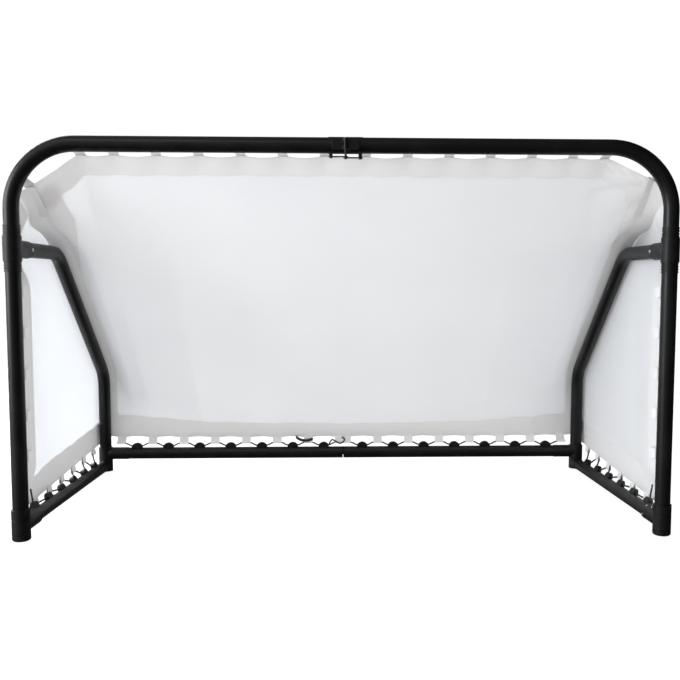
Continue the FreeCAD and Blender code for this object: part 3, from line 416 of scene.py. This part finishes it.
for side, sign in SIDES.items():
    low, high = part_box(side + "_strut_screw")
    seat_x = high[0] - upper_screw_sunk if sign < 0 else low[0] + upper_screw_sunk
    middle = Vector((seat_x, (low[1] + high[1]) / 2, (low[2] + high[2]) / 2))
    head = pan_head(upper_screw_radius, upper_screw_height)
    turn = Matrix.Rotation(math.radians(90) * -sign, 4, "Y")
    stub_screw = screw(side + "_stub_screw", head, middle, turn, side)
    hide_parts(side + "_strut_screw")
    for number, (away, y, z, radius, out) in enumerate(lower_screws):
        head = pan_head(radius, lower_screw_height)
        turn = Vector((0, 0, 1)).rotation_difference(Vector(out)).to_matrix().to_4x4()
        centre = Vector((post_x * sign - away, y, z))
        screw("%s_lower_screw_%d" % (side, number), head, centre, turn, side)

# Net clips
# Small domes of glossier black plastic, pushed onto the tubes. The ones on the ground bars
# have a channel for the cord.
clip_black = (0.006, 0.006, 0.0065, 1)
clip_rubbed = (0.015, 0.015, 0.016, 1)
clip_plastic = moulded("clip_plastic", 1100.0, 0.33, clip_black, clip_rubbed, 0.0015)
for side in SIDES:
    for part in ("frame_net_clips", "rear_net_clips", "side_net_clips"):
        dress("%s_%s" % (side, part), clip_plastic)

# Back net
# One cloth of very fine white knitted mesh, cut to slope from the crossbar to the rear bar and
# to fold over the struts, with a wide doubled hem of closer cloth sewn round its edge.
# Each half is two pieces, because the upper part follows the front frame and the lower the rear bar.
hem_width = 0.080
top_hem = 0.050
bottom_hem = 0.070
corner_hem = {
    -1: (
        (0.0, 0.10), (0.075, 0.108), (0.144, 0.122), (0.193, 0.116), (0.30, 0.084), (0.40, 0.056),
        (9, 0.052),
    ),
    1: ((0.0, 0.09), (0.072, 0.088), (0.167, 0.092), (0.25, 0.070), (0.33, 0.052), (9, 0.050)),
}
hem_lean = {-1: 0.75, 1: 0.86}
shoulder_drops = {-1: 0.073, 1: 0.050}
seam_x = 0.7540
bend_start = 0.5925
front_line = -0.350
setback = 0.028
net_top = 0.862
shoulder_run = 0.110
side_drop = 0.092
net_bottom = 0.099
rear_line = 0.355
rear_face = 0.3685
tab_first = 0.045
tab_pitch = 0.094
lower_tab_first = 0.012
lower_tab_pitch = 0.096
lower_tab_count = 8
line_sag = 0.0042
swell_height = 0.0055
wrinkle_height = 0.0012
ripple_height = 0.0011
fold_height = {-1: 0.0012, 1: 0.0024}
fold_turns = {-1: 30, 1: 46}
scallop_below = 0.0045
scallop_above = 0.0035
cloth_outward = Vector((0, 0.66, 0.75))
columns = 96
row_length = 0.0085
# Painted shade: a darker, warmer patch on the back net at the round corner, strong on the left and faint
# on the right.
shade_patch_x = 0.672
shade_patch_down = 0.056
painted_shade_strength = {-1: 0.8, 1: 0.1}
cloth_thickness = 0.0012
mesh_white = ((0.83, 0.837, 0.851, 1), (0.87, 0.877, 0.887, 1))
hem_white = ((0.755, 0.749, 0.751, 1), (0.805, 0.80, 0.802, 1))
# Warm grey of the painted shade on the corner patch and on the corner tape.
painted_shade_grey = (0.60, 0.575, 0.57, 1)
stitch_grey = (0.62, 0.62, 0.63, 1)
hem_glow = 0.12
mesh_glow = 0.42


def between(a, b, share):
    return a + (b - a) * share


def ease(low, high, value):
    """A smooth step from 0 to 1."""
    share = min(1.0, max(0.0, (value - low) / (high - low)))
    return share * share * (3 - 2 * share)


def through(points, place):
    """A point of the smooth curve through points, at a place counted in points."""
    index = min(int(place), len(points) - 2)
    share = place - index
    a = points[max(index - 1, 0)]
    b = points[index]
    c = points[index + 1]
    d = points[min(index + 2, len(points) - 1)]
    return (
        b * 2
        + (c - a) * share
        + (a * 2 - b * 5 + c * 4 - d) * share ** 2
        + (b * 3 - a - c * 3 + d) * share ** 3
    ) * 0.5


def hem_height(x, side):
    """The upper edge of the net: level, then cut across the round corner."""
    shoulder_drop = shoulder_drops[side]
    if x <= bend_start:
        return net_top
    if x <= bend_start + shoulder_run:
        return net_top - shoulder_drop * (x - bend_start) / shoulder_run
    first = bend_start + shoulder_run
    return net_top - shoulder_drop - (side_drop - shoulder_drop) * (x - first) / (seam_x - first)


over_strut = [
    Vector((front_line + 0.1470, 0.7215)),
    Vector((front_line + 0.2965, 0.6800)),
    Vector((front_line + 0.4800, 0.5175)),
    Vector((front_line + 0.6650, 0.3545)),
    Vector((front_line + 0.7120, 0.2950)),
    Vector((rear_face, 0.2480)),
    Vector((rear_face, net_bottom)),
]
straight_shares = (0, 0.2, 0.42, 0.6, 0.77, 0.84, 0.91, 1)
lift_places = (
    (0.0, 0.0), (0.25, 0.02), (0.43, 0.1), (0.59, 0.38), (0.645, 0.6), (0.70, 1.0), (0.8, 1.0)
)


def along(places, x):
    """The value at x on a line of straight runs."""
    for (x0, s0), (x1, s1) in zip(places, places[1:]):
        if x <= x1:
            return between(s0, s1, (x - x0) / (x1 - x0))
    return places[-1][1]


def net_line(x, side):
    """The run of the cloth from its upper to its lower edge at a distance from the middle."""
    top = hem_height(x, side)
    share = along(lift_places, x)
    first = Vector((front_line + setback, top))
    last = Vector((rear_line, net_bottom))
    points = [first]
    for number, straight in enumerate(straight_shares[1:]):
        sag = math.sin(math.pi * straight) * line_sag
        plain = first.lerp(last, straight) - Vector((sag, sag))
        points.append(plain.lerp(over_strut[number], share))
    return points


def gather(x, place, side):
    """How far the cloth stands out: slack, creases from the tabs and folds in the corners."""
    swell = noise.noise(Vector((x * 3.1 * side + 4.0, place * 0.55, 1.7))) * swell_height
    fine = noise.noise(Vector((x * 11.0 * side, place * 2.1, 8.3))) * wrinkle_height
    pulled = math.cos(2 * math.pi * (x - tab_first) / tab_pitch)
    ripple = pulled * math.exp(-place * 3.2) * ripple_height
    corner = ease(0.50, 0.64, x) * math.exp(-((place - 0.42) ** 2) * 5.0)
    turn = math.atan2(place + 0.12, 0.80 - x)
    fan = math.sin(turn * fold_turns[side]) + 0.5 * math.sin(turn * 71 + 1.3)
    fold = fan * corner * fold_height[side]
    free = 1 - ease(0.66, 0.70, x) * 0.8
    held = 1 - ease(6.0, 7.0, place) * 0.7
    return (swell * ease(0.0, 0.8, place) + fine) * free * held + ripple + fold * free


def net_point(x, place, side):
    """A point of the back net, with its edges scalloped between the tabs."""
    flat = through(net_line(x, side), place)
    point = Vector((x * side, flat.x, flat.y)) + cloth_outward * gather(x, place, side)
    lower = (x - lower_tab_first) / lower_tab_pitch
    upper = (x - tab_first) / tab_pitch
    lift = math.sin(math.pi * (lower % 1.0)) * scallop_below
    sag = math.sin(math.pi * (upper % 1.0)) * scallop_above
    point.z += lift * ease(6.2, 7.0, place)
    point.z -= sag * (1 - ease(0.0, 0.5, place)) * (1 - ease(0.55, 0.6, x))
    return point


def rows_for(first, last):
    """Rows of cloth between two of the line's points, about one row_length apart."""
    line = net_line(0.3, 1)
    places = []
    for index in range(first, last):
        count = max(2, round((line[index + 1] - line[index]).length / row_length))
        places += [index + step / count for step in range(count)]
    return places + [last]


def lengths_down(x, places, side):
    """The cloth's length from its upper edge down to each place."""
    total = 0
    steps = rows_for(0, 7)
    points = [net_point(x, place, side) for place in steps]
    found = {0: 0.0}
    for number in range(1, len(points)):
        total += (points[number] - points[number - 1]).length
        found[steps[number]] = total
    return [found[place] for place in places], total


def back_cloth(side, first, last):
    """A quarter of the back net. Each hem's own width counts as hem_width in from_edge."""
    places = rows_for(first, last)
    cloth = bmesh.new()
    bmesh.ops.create_grid(cloth, x_segments=columns, y_segments=len(places) - 1, size=0.5)
    edge_key = cloth.verts.layers.float.new("from_edge")
    across_key = cloth.verts.layers.float.new("across")
    down_key = cloth.verts.layers.float.new("down")
    painted_shade_key = cloth.verts.layers.float.new("painted_shade")
    measured = {}
    for v in cloth.verts:
        column = round((v.co.x + 0.5) * columns)
        row = round((v.co.y + 0.5) * (len(places) - 1))
        x = seam_x * column / columns
        if column not in measured:
            measured[column] = lengths_down(x, places, side)
        downs, total = measured[column]
        v.co = net_point(x, places[row], side)
        lean = between(1.0, hem_lean[side], ease(bend_start - 0.02, bend_start + 0.03, x))
        high_hem = downs[row] * lean * hem_width / top_hem
        low_hem = (total - downs[row]) * hem_width / bottom_hem
        side_hem_width = along(corner_hem[side], downs[row])
        v[edge_key] = min(high_hem, low_hem, (seam_x - x) * hem_width / side_hem_width)
        v[across_key] = x * side
        v[down_key] = downs[row]
        # Painted shade: how strongly the darker patch at the round corner greys the cloth at each point.
        off = math.hypot((x - shade_patch_x) / 0.034, (downs[row] - shade_patch_down) / 0.040)
        v[painted_shade_key] = (1 - ease(0.45, 1.1, off)) * painted_shade_strength[side]
    bmesh.ops.recalc_face_normals(cloth, faces=cloth.faces[:])
    middle = min(cloth.faces, key=lambda face: face.calc_center_median().length)
    if middle.normal.z < 0:
        bmesh.ops.reverse_faces(cloth, faces=cloth.faces[:])
    return cloth


def net_cloth_finish(name):
    """Fine knitted mesh inside, closer hem cloth near the edge, with two rows of stitches and painted
    shade.
    """
    finish = Finish(name, mesh_white[0], 0.8)
    from_edge = finish.kept("from_edge")
    across = finish.kept("across")
    down = finish.kept("down")
    inside = from_edge.above(hem_width, 0.0006)
    knit_a = (across * 3900.0).wave()
    knit_b = (down * 3900.0 + (across * 1950.0).wave() * 0.9).wave()
    loops = knit_a * knit_b
    ribs = (across * 5200.0 + down * 5200.0).wave()
    near_inner = (from_edge - (hem_width - 0.004)).size()
    near_outer = (from_edge - 0.006).size()
    dashes = ((across + down) * 1450.0).wave().above(-0.2, 0.2)
    rows = (1 - near_inner.above(0.0009, 0.0004)) + (1 - near_outer.above(0.0009, 0.0004))
    stitch = rows * dashes
    stain = finish.grain(5.0, 3.0)
    mesh_colour = finish.blend(stain, *mesh_white)
    hem_colour = finish.blend(stain, *hem_white)
    colour = finish.blend(inside, hem_colour, mesh_colour)
    # Painted shade: the corner patch and the corner tape are darkened towards a warm grey.
    colour = finish.blend(finish.kept("painted_shade"), colour, painted_shade_grey)
    colour = finish.blend(stitch * 0.35, colour, stitch_grey)
    finish.set("Base Color", colour)
    finish.set("Roughness", 0.78 + loops * 0.06)
    height = inside * loops * 0.5 + (1 - inside) * (ribs * 0.25 + 1.2) - stitch * 0.9
    finish.set("Normal", finish.relief(height, 0.00035, 0.6))
    finish.set("Sheen Weight", 0.15)
    finish.set("Sheen Roughness", 0.5)
    through_light = finish.node("ShaderNodeBsdfTranslucent", inputs={"Color": colour})
    share = hem_glow + inside * (mesh_glow - hem_glow)
    surface = Wire(finish, finish.shader.outputs[0])
    mixed = finish.node("ShaderNodeMixShader", inputs={0: share, 1: surface, 2: through_light})
    finish.feed(finish.tree.nodes["Material Output"].inputs["Surface"], mixed)
    return finish.material


net_cloth = net_cloth_finish("knitted_net_cloth")


def thicken(piece, thickness, offset):
    """Gives a cloth its thickness, with square cut edges."""
    skin = piece.modifiers.new("thickness", "SOLIDIFY")
    skin.thickness = thickness
    skin.offset = offset
    edges = piece.modifiers.new("cut_edges", "EDGE_SPLIT")
    edges.split_angle = math.radians(50)


rear_cord_line = 0.350
quarters = {
    "upper": (0, 3, "front", "crossbar_fold", front_line + setback, (0.754, 0.63), 0.460),
    "lower": (3, 7, "rear", "{side}_rear_fold", rear_cord_line, (0.754, 0.46), 0.337),
}
for side, sign in SIDES.items():
    for level, (first, last, body, joint, anchor, flat, area) in quarters.items():
        cloth = back_cloth(sign, first, last)
        piece = link("%s_%s_net" % (side, level), cloth, net_cloth, "%s_%s" % (side, body))
        thicken(piece, cloth_thickness, 1.0)
        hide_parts("%s_%s_back_net" % (side, level))
        joint = joint.format(side=side)
        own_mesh(piece)

# Side nets
# Flat panels of the same mesh outside the struts, hemmed at the post and at the bottom.
# The front hem is pulled in towards the post by its tabs.
side_front_edge = 0.044
side_rear_edge = 0.076
side_bottom_hem = 0.066
side_tab_first = 0.153
side_tab_pitch = 0.098
side_tab_count = 6
side_length = 0.700
side_scallop = 0.004
side_swell = 0.0032
drawn_in = 0.026
side_cell = 0.0125
cells_along = 60
cells_up = 70
seam_steps = 6
hem_steps = 56


def side_hem(y):
    """The lower edge: drawn down to the cord by each tab and lifted a little between two."""
    share = (y - front_line) / side_length
    lift = math.sin(math.pi * ((y - front_line - side_tab_first) / side_tab_pitch % 1.0))
    return between(side_front_edge, side_rear_edge, share) + lift * side_scallop


def pull_in(y, z):
    """How far the panel is drawn in towards the post near its front edge."""
    front = 1 - ease(front_line + setback + 0.01, front_line + 0.27, y)
    stub = 1 - math.exp(-(((z - 0.655) / 0.062) ** 4))
    foot = ease(0.075, 0.15, z)
    return drawn_in * front * stub * foot


def side_panel(sign):
    """A side net, cut along the back net's seam and divided into small cells."""
    line = net_line(seam_x, sign)
    outline = [through(line, step / seam_steps) for step in range(seam_steps * (len(line) - 1))]
    for step in range(hem_steps + 1):
        y = between(rear_face, front_line + setback, step / hem_steps)
        outline.append(Vector((y, side_hem(y))))
    panel = bmesh.new()
    corners = [panel.verts.new((seam_x * sign, point.x, point.y)) for point in outline]
    panel.faces.new(corners)
    for count, axis in ((cells_along, 1), (cells_up, 2)):
        normal = Vector((0, 1, 0)) if axis == 1 else Vector((0, 0, 1))
        start = front_line + setback if axis == 1 else side_front_edge
        for number in range(1, count):
            everything = panel.verts[:] + panel.edges[:] + panel.faces[:]
            place = Vector((0, 0, 0))
            place[axis] = start + number * side_cell
            bmesh.ops.bisect_plane(panel, geom=everything, plane_co=place, plane_no=normal)
    edge_key = panel.verts.layers.float.new("from_edge")
    across_key = panel.verts.layers.float.new("across")
    down_key = panel.verts.layers.float.new("down")
    for v in panel.verts:
        y, z = v.co.y, v.co.z
        low_hem = (z - side_hem(y)) * hem_width / side_bottom_hem
        v[edge_key] = min(y - front_line - setback, low_hem) + 0.0001
        v[across_key] = y
        v[down_key] = z
        swell = abs(noise.noise(Vector((y * 4.0, z * 4.0, 3.0 * sign)))) * side_swell
        inner = ease(0.0, 0.05, v[edge_key]) * ease(front_line + 0.06, front_line + 0.2, y)
        v.co.x = sign * (seam_x - pull_in(y, z) + swell * inner)
    bmesh.ops.triangulate(panel, faces=[face for face in panel.faces if len(face.verts) > 4])
    bmesh.ops.recalc_face_normals(panel, faces=panel.faces[:])
    first = panel.faces[:][0]
    if first.normal.x * sign < 0:
        bmesh.ops.reverse_faces(panel, faces=panel.faces[:])
    return panel


for side, sign in SIDES.items():
    piece = link(side + "_side_panel", side_panel(sign), net_cloth, side + "_side")
    thicken(piece, cloth_thickness, 1.0)
    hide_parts(side + "_side_net")

# Webbing tabs
# Short tapes of doubled webbing. Upper ones go up behind the crossbar to the clips, lower ones
# loop round the lacing cord, and those at the post fold round its clips.
tape_white = ((0.74, 0.74, 0.75, 1), (0.85, 0.85, 0.86, 1))
tape_thickness = 0.0009
upper_clip_first = 0.051
upper_clip_pitch = 0.093
upper_tab_count = 6
post_tab_count = 5
narrow_tape = 0.022
wide_tape = 0.024
# Painted shade on the corner tape, much darker on the left than on the right.
corner_tape_painted_shade = {-1: 0.35, 1: 0.1}
loop_width = 0.026
middle_loop_width = 0.0243
middle_loop_x = 0.01265
tape_front = front_line + 0.0268
clip_circle = 0.146
bend_centre_z = 0.7425
loop_under_hem = 0.010
loop_radius = 0.0034
loop_neck = 0.006
half_hem = 0.0010
cord_under_net = 0.013
post_tab_top = 0.5595
webbing = Finish("white_webbing", tape_white[0], 0.75)
webbing.set("Base Color", webbing.blend(webbing.grain(30.0), *tape_white))
webbing.set("Normal", webbing.relief(webbing.weave(2600.0, 4200.0), 0.0002, 0.6))
webbing.set("Sheen Weight", 0.1)


def tape(mesh, path, across, width):
    """A strip of webbing along a path, added to a mesh."""
    steps = len(path) - 1
    made = bmesh.ops.create_grid(mesh, x_segments=4, y_segments=steps, size=0.5)
    for v in made["verts"]:
        column = v.co.x
        row = round((v.co.y + 0.5) * steps)
        v.co = path[row] + across * (column * width)


def rounded_path(points, count):
    """Points along the smooth curve through a few given ones."""
    return [through(points, (len(points) - 1) * step / count) for step in range(count + 1)]


def corner_tape(sign):
    """The double-layer tape that runs on from the corner tab down the inside of the cloth, in painted
    shade.
    """
    before_cloth = Vector((0.25 * -sign, -0.72, -0.62)) * 0.0018
    path = [net_point(0.699, place / 10, sign) + before_cloth for place in range(0, 9)]
    mesh = bmesh.new()
    tape(mesh, path, Vector((1, 0.25 * sign, 0)).normalized(), wide_tape)
    # The painted shade of the tape, kept at each point for the cloth's finish.
    painted_shade_key = mesh.verts.layers.float.new("painted_shade")
    for v in mesh.verts:
        v[painted_shade_key] = corner_tape_painted_shade[sign]
    return mesh


def upper_tabs(sign):
    """Six tapes along the crossbar and two at the round corner."""
    mesh = bmesh.new()
    behind_cloth = Vector((0, 0.75, 0.66)) * 0.0024
    for number in range(upper_tab_count):
        x = upper_clip_first + upper_clip_pitch * number
        foot = tab_first + tab_pitch * number
        path = rounded_path(
            [
                net_point(foot, 0.2, sign) + behind_cloth,
                net_point(foot, 0.02, sign) + behind_cloth,
                Vector((x * sign, front_line + 0.0272, 0.876)),
                Vector((x * sign, front_line + 0.0264, 0.8885)),
            ],
            10,
        )
        tape(mesh, path, Vector((1, 0, 0)), narrow_tape)
    for angle, foot in ((8, 0.588), (62, 0.700)):
        turn = math.radians(angle)
        top_x = bend_start + math.sin(turn) * clip_circle
        top = Vector((top_x * sign, tape_front, bend_centre_z + math.cos(turn) * clip_circle))
        bottom = net_point(foot, 0.10, sign) + behind_cloth * 1.6
        edge = net_point(foot, 0.0, sign) + behind_cloth * 1.6
        path = rounded_path([bottom, edge, edge.lerp(top, 0.6), top], 8)
        across = (net_point(foot + 0.01, 0.0, sign) - net_point(foot - 0.01, 0.0, sign)).normalized()
        tape(mesh, path, across, narrow_tape)
    return mesh


def loop_path(cord_point, up_point, outward):
    """A tape from the hem down round the cord and up again."""
    down = (cord_point - up_point).normalized()
    side_step = outward * loop_radius
    neck = cord_point - down * loop_neck
    points = [up_point + outward * half_hem, neck + side_step * 0.9]
    for step in range(7):
        angle = math.pi * step / 6
        points.append(cord_point + side_step * math.cos(angle) + down * math.sin(angle) * loop_radius)
    return points + [neck - side_step * 0.9, up_point - outward * half_hem]


def lower_tabs(sign):
    """Eight loops along the rear bar. The first is cut short at the middle of the goal."""
    mesh = bmesh.new()
    for number in range(lower_tab_count):
        x = lower_tab_first + lower_tab_pitch * number
        centre = x if number else middle_loop_x
        rear = through(net_line(x, sign), 6.9)
        path = loop_path(
            Vector((centre * sign, rear_cord_line, net_bottom - cord_under_net)),
            Vector((centre * sign, rear.x, net_bottom + loop_under_hem)),
            Vector((0, 1, 0)),
        )
        tape(mesh, path, Vector((1, 0, 0)), loop_width if number else middle_loop_width)
    return mesh


def side_tabs(sign):
    """Six loops along the lower edge of a side net."""
    mesh = bmesh.new()
    for number in range(side_tab_count):
        y = front_line + side_tab_first + side_tab_pitch * number
        path = loop_path(
            Vector(((seam_x - 0.0001) * sign, y, side_hem(y) - loop_under_hem)),
            Vector(((seam_x + 0.0004) * sign, y, side_hem(y) + 0.008)),
            Vector((sign, 0, 0)),
        )
        tape(mesh, path, Vector((0, 1, 0)), loop_width)
    return mesh


def post_tabs(sign):
    """Five tapes from the side net's front edge to the clips of the post."""
    mesh = bmesh.new()
    for number in range(post_tab_count):
        z = post_tab_top - tab_pitch * number
        path = rounded_path(
            [
                Vector((0.7226 * sign, front_line + 0.056, z)),
                Vector((0.7212 * sign, front_line + 0.036, z)),
                Vector((0.7222 * sign, front_line + 0.0285, z + 0.002)),
                Vector((0.7300 * sign, tape_front, z + 0.003)),
            ],
            9,
        )
        tape(mesh, path, Vector((0, 0, 1)), wide_tape)
    return mesh


for side, sign in SIDES.items():
    for name, mesh, body in (
        ("upper_tabs", upper_tabs(sign), "front"),
        ("corner_tape", corner_tape(sign), "front"),
        ("lower_tabs", lower_tabs(sign), "rear"),
        ("side_tabs", side_tabs(sign), "side"),
        ("post_tab_tapes", post_tabs(sign), "side"),
    ):
        bmesh.ops.recalc_face_normals(mesh, faces=mesh.faces[:])
        # The corner tape takes the net cloth's finish, which shows its painted shade.
        material = net_cloth if name == "corner_tape" else webbing.material
        piece = link("%s_%s" % (side, name), mesh, material, "%s_%s" % (side, body))
        thicken(piece, tape_thickness, 0.0)
        if name == "post_tab_tapes":
            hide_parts(side + "_post_tabs")

# Lacing cords
# Black braided cord, laced in turn through the clips on the bar and the webbing loops.
# It is tied off near the middle of the rear bar and at the front end of each side tube.
cord_thickness = 0.0046
cord_end_thickness = 0.0042
cord_black = ((0.012, 0.012, 0.013, 1), (0.03, 0.03, 0.032, 1))
cord_finish = Finish("braided_cord", cord_black[0], 0.62)
braid = cord_finish.weave(2100.0, 1500.0) * cord_finish.weave(2100.0, -1500.0)
cord_finish.set("Normal", cord_finish.relief(braid, 0.0003, 0.8))
cord_finish.set("Base Color", cord_finish.blend(cord_finish.grain(240.0), *cord_black))


def lacing(name, points, body, diameter=cord_thickness):
    """A round cord along a smooth line."""
    curve = bpy.data.curves.new(name, "CURVE")
    curve.dimensions = "3D"
    curve.bevel_depth = diameter / 2
    curve.bevel_resolution = 3
    curve.resolution_u = 6
    curve.use_fill_caps = True
    run = curve.splines.new("NURBS")
    run.points.add(len(points) - 1)
    for slot, point in zip(run.points, points):
        slot.co = (point.x, point.y, point.z, 1)
    run.order_u = 3
    run.use_endpoint_u = True
    holder = bpy.data.objects.new(name + "_run", curve)
    bpy.context.scene.collection.objects.link(holder)
    bpy.context.view_layer.update()
    data = bpy.data.meshes.new_from_object(holder.evaluated_get(bpy.context.evaluated_depsgraph_get()))
    bpy.data.objects.remove(holder)
    data.name = name
    return place_piece(name, data, cord_finish.material, body)


def run_along(middle, reach):
    """The two ends of a straight run of cord through a clip or a loop."""
    return [middle - reach, middle + reach]


clip_reach = 0.018
tab_reach = 0.015
rear_clip_first = 0.060
rear_clip_pitch = 0.096
rear_cord_z = 0.0755
rear_cord_start = 0.0015
loop_z = net_bottom - cord_under_net
side_clip_turn = math.radians(20)
side_cord_radius = 0.020
side_tube_front = 0.034
side_tube_fall = 0.017
for side, sign in SIDES.items():
    route = []
    for number in range(lower_tab_count):
        x = lower_tab_first + lower_tab_pitch * number
        near = x - tab_reach if number else rear_cord_start
        route.append(Vector((near * sign, rear_cord_line, loop_z)))
        route.append(Vector(((x + tab_reach) * sign, rear_cord_line, loop_z)))
        if number < lower_tab_count - 1:
            clip_x = rear_clip_first + rear_clip_pitch * number
            clip = Vector((clip_x * sign, rear_cord_line, rear_cord_z))
            route += run_along(clip, Vector((clip_reach * sign, 0, 0)))
    rear_cord = lacing(side + "_rear_cord", route, side + "_rear")
    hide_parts(side + "_rear_lacing")
    route = []
    out = Vector((math.sin(side_clip_turn) * sign, 0, math.cos(side_clip_turn))) * side_cord_radius
    for number in range(side_tab_count):
        y = front_line + side_tab_first + side_tab_pitch * (number - 0.5)
        fall = side_tube_fall * (y - front_line) / side_length
        axis = Vector((post_x * sign, y, side_tube_front - fall))
        route += run_along(axis + out, Vector((0, clip_reach, 0)))
        tab_y = y + side_tab_pitch / 2
        hung = Vector(((seam_x + 0.0002) * sign, tab_y, side_hem(tab_y) - loop_under_hem))
        route += run_along(hung, Vector((0, tab_reach, 0)))
    side_cord = lacing(side + "_side_cord", route, side + "_side")
    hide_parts(side + "_side_lacing")

# Loose ends of the cords
# The left rear cord ends in a doubled bight, and a short free tail lies over the middle of the bar.
# Each side cord has an end that stands up beside the post's foot.
loose_line = 0.3455
bight = ((-0.1459, 0.1010), (-0.136, 0.0925), (-0.118, 0.0885), (-0.1035, 0.0905), (-0.0932, 0.0945))
tail = (
    (-0.0435, 0.0800), (-0.0370, 0.0925), (-0.0311, 0.0946), (-0.0190, 0.0850),
    (-0.0062, 0.0812), (0.0035, 0.0890), (0.0050, 0.0975), (-0.0031, 0.1012),
)
post_end = (
    (0.7270, -0.3010, 0.1050), (0.7275, -0.2960, 0.0930),
    (0.7290, -0.2860, 0.0775), (0.7335, -0.2720, 0.0640),
)
for number in range(2):
    strand = [Vector((x, loose_line, z + number * cord_end_thickness)) for x, z in bight]
    lacing("left_cord_bight_%d" % number, strand, "left_rear")
lacing("left_cord_tail", [Vector((x, loose_line, z)) for x, z in tail], "left_rear")
for side, sign in SIDES.items():
    strand = [Vector((x * sign, y, z)) for x, y, z in post_end]
    lacing(side + "_cord_end", strand, side + "_side", cord_end_thickness)
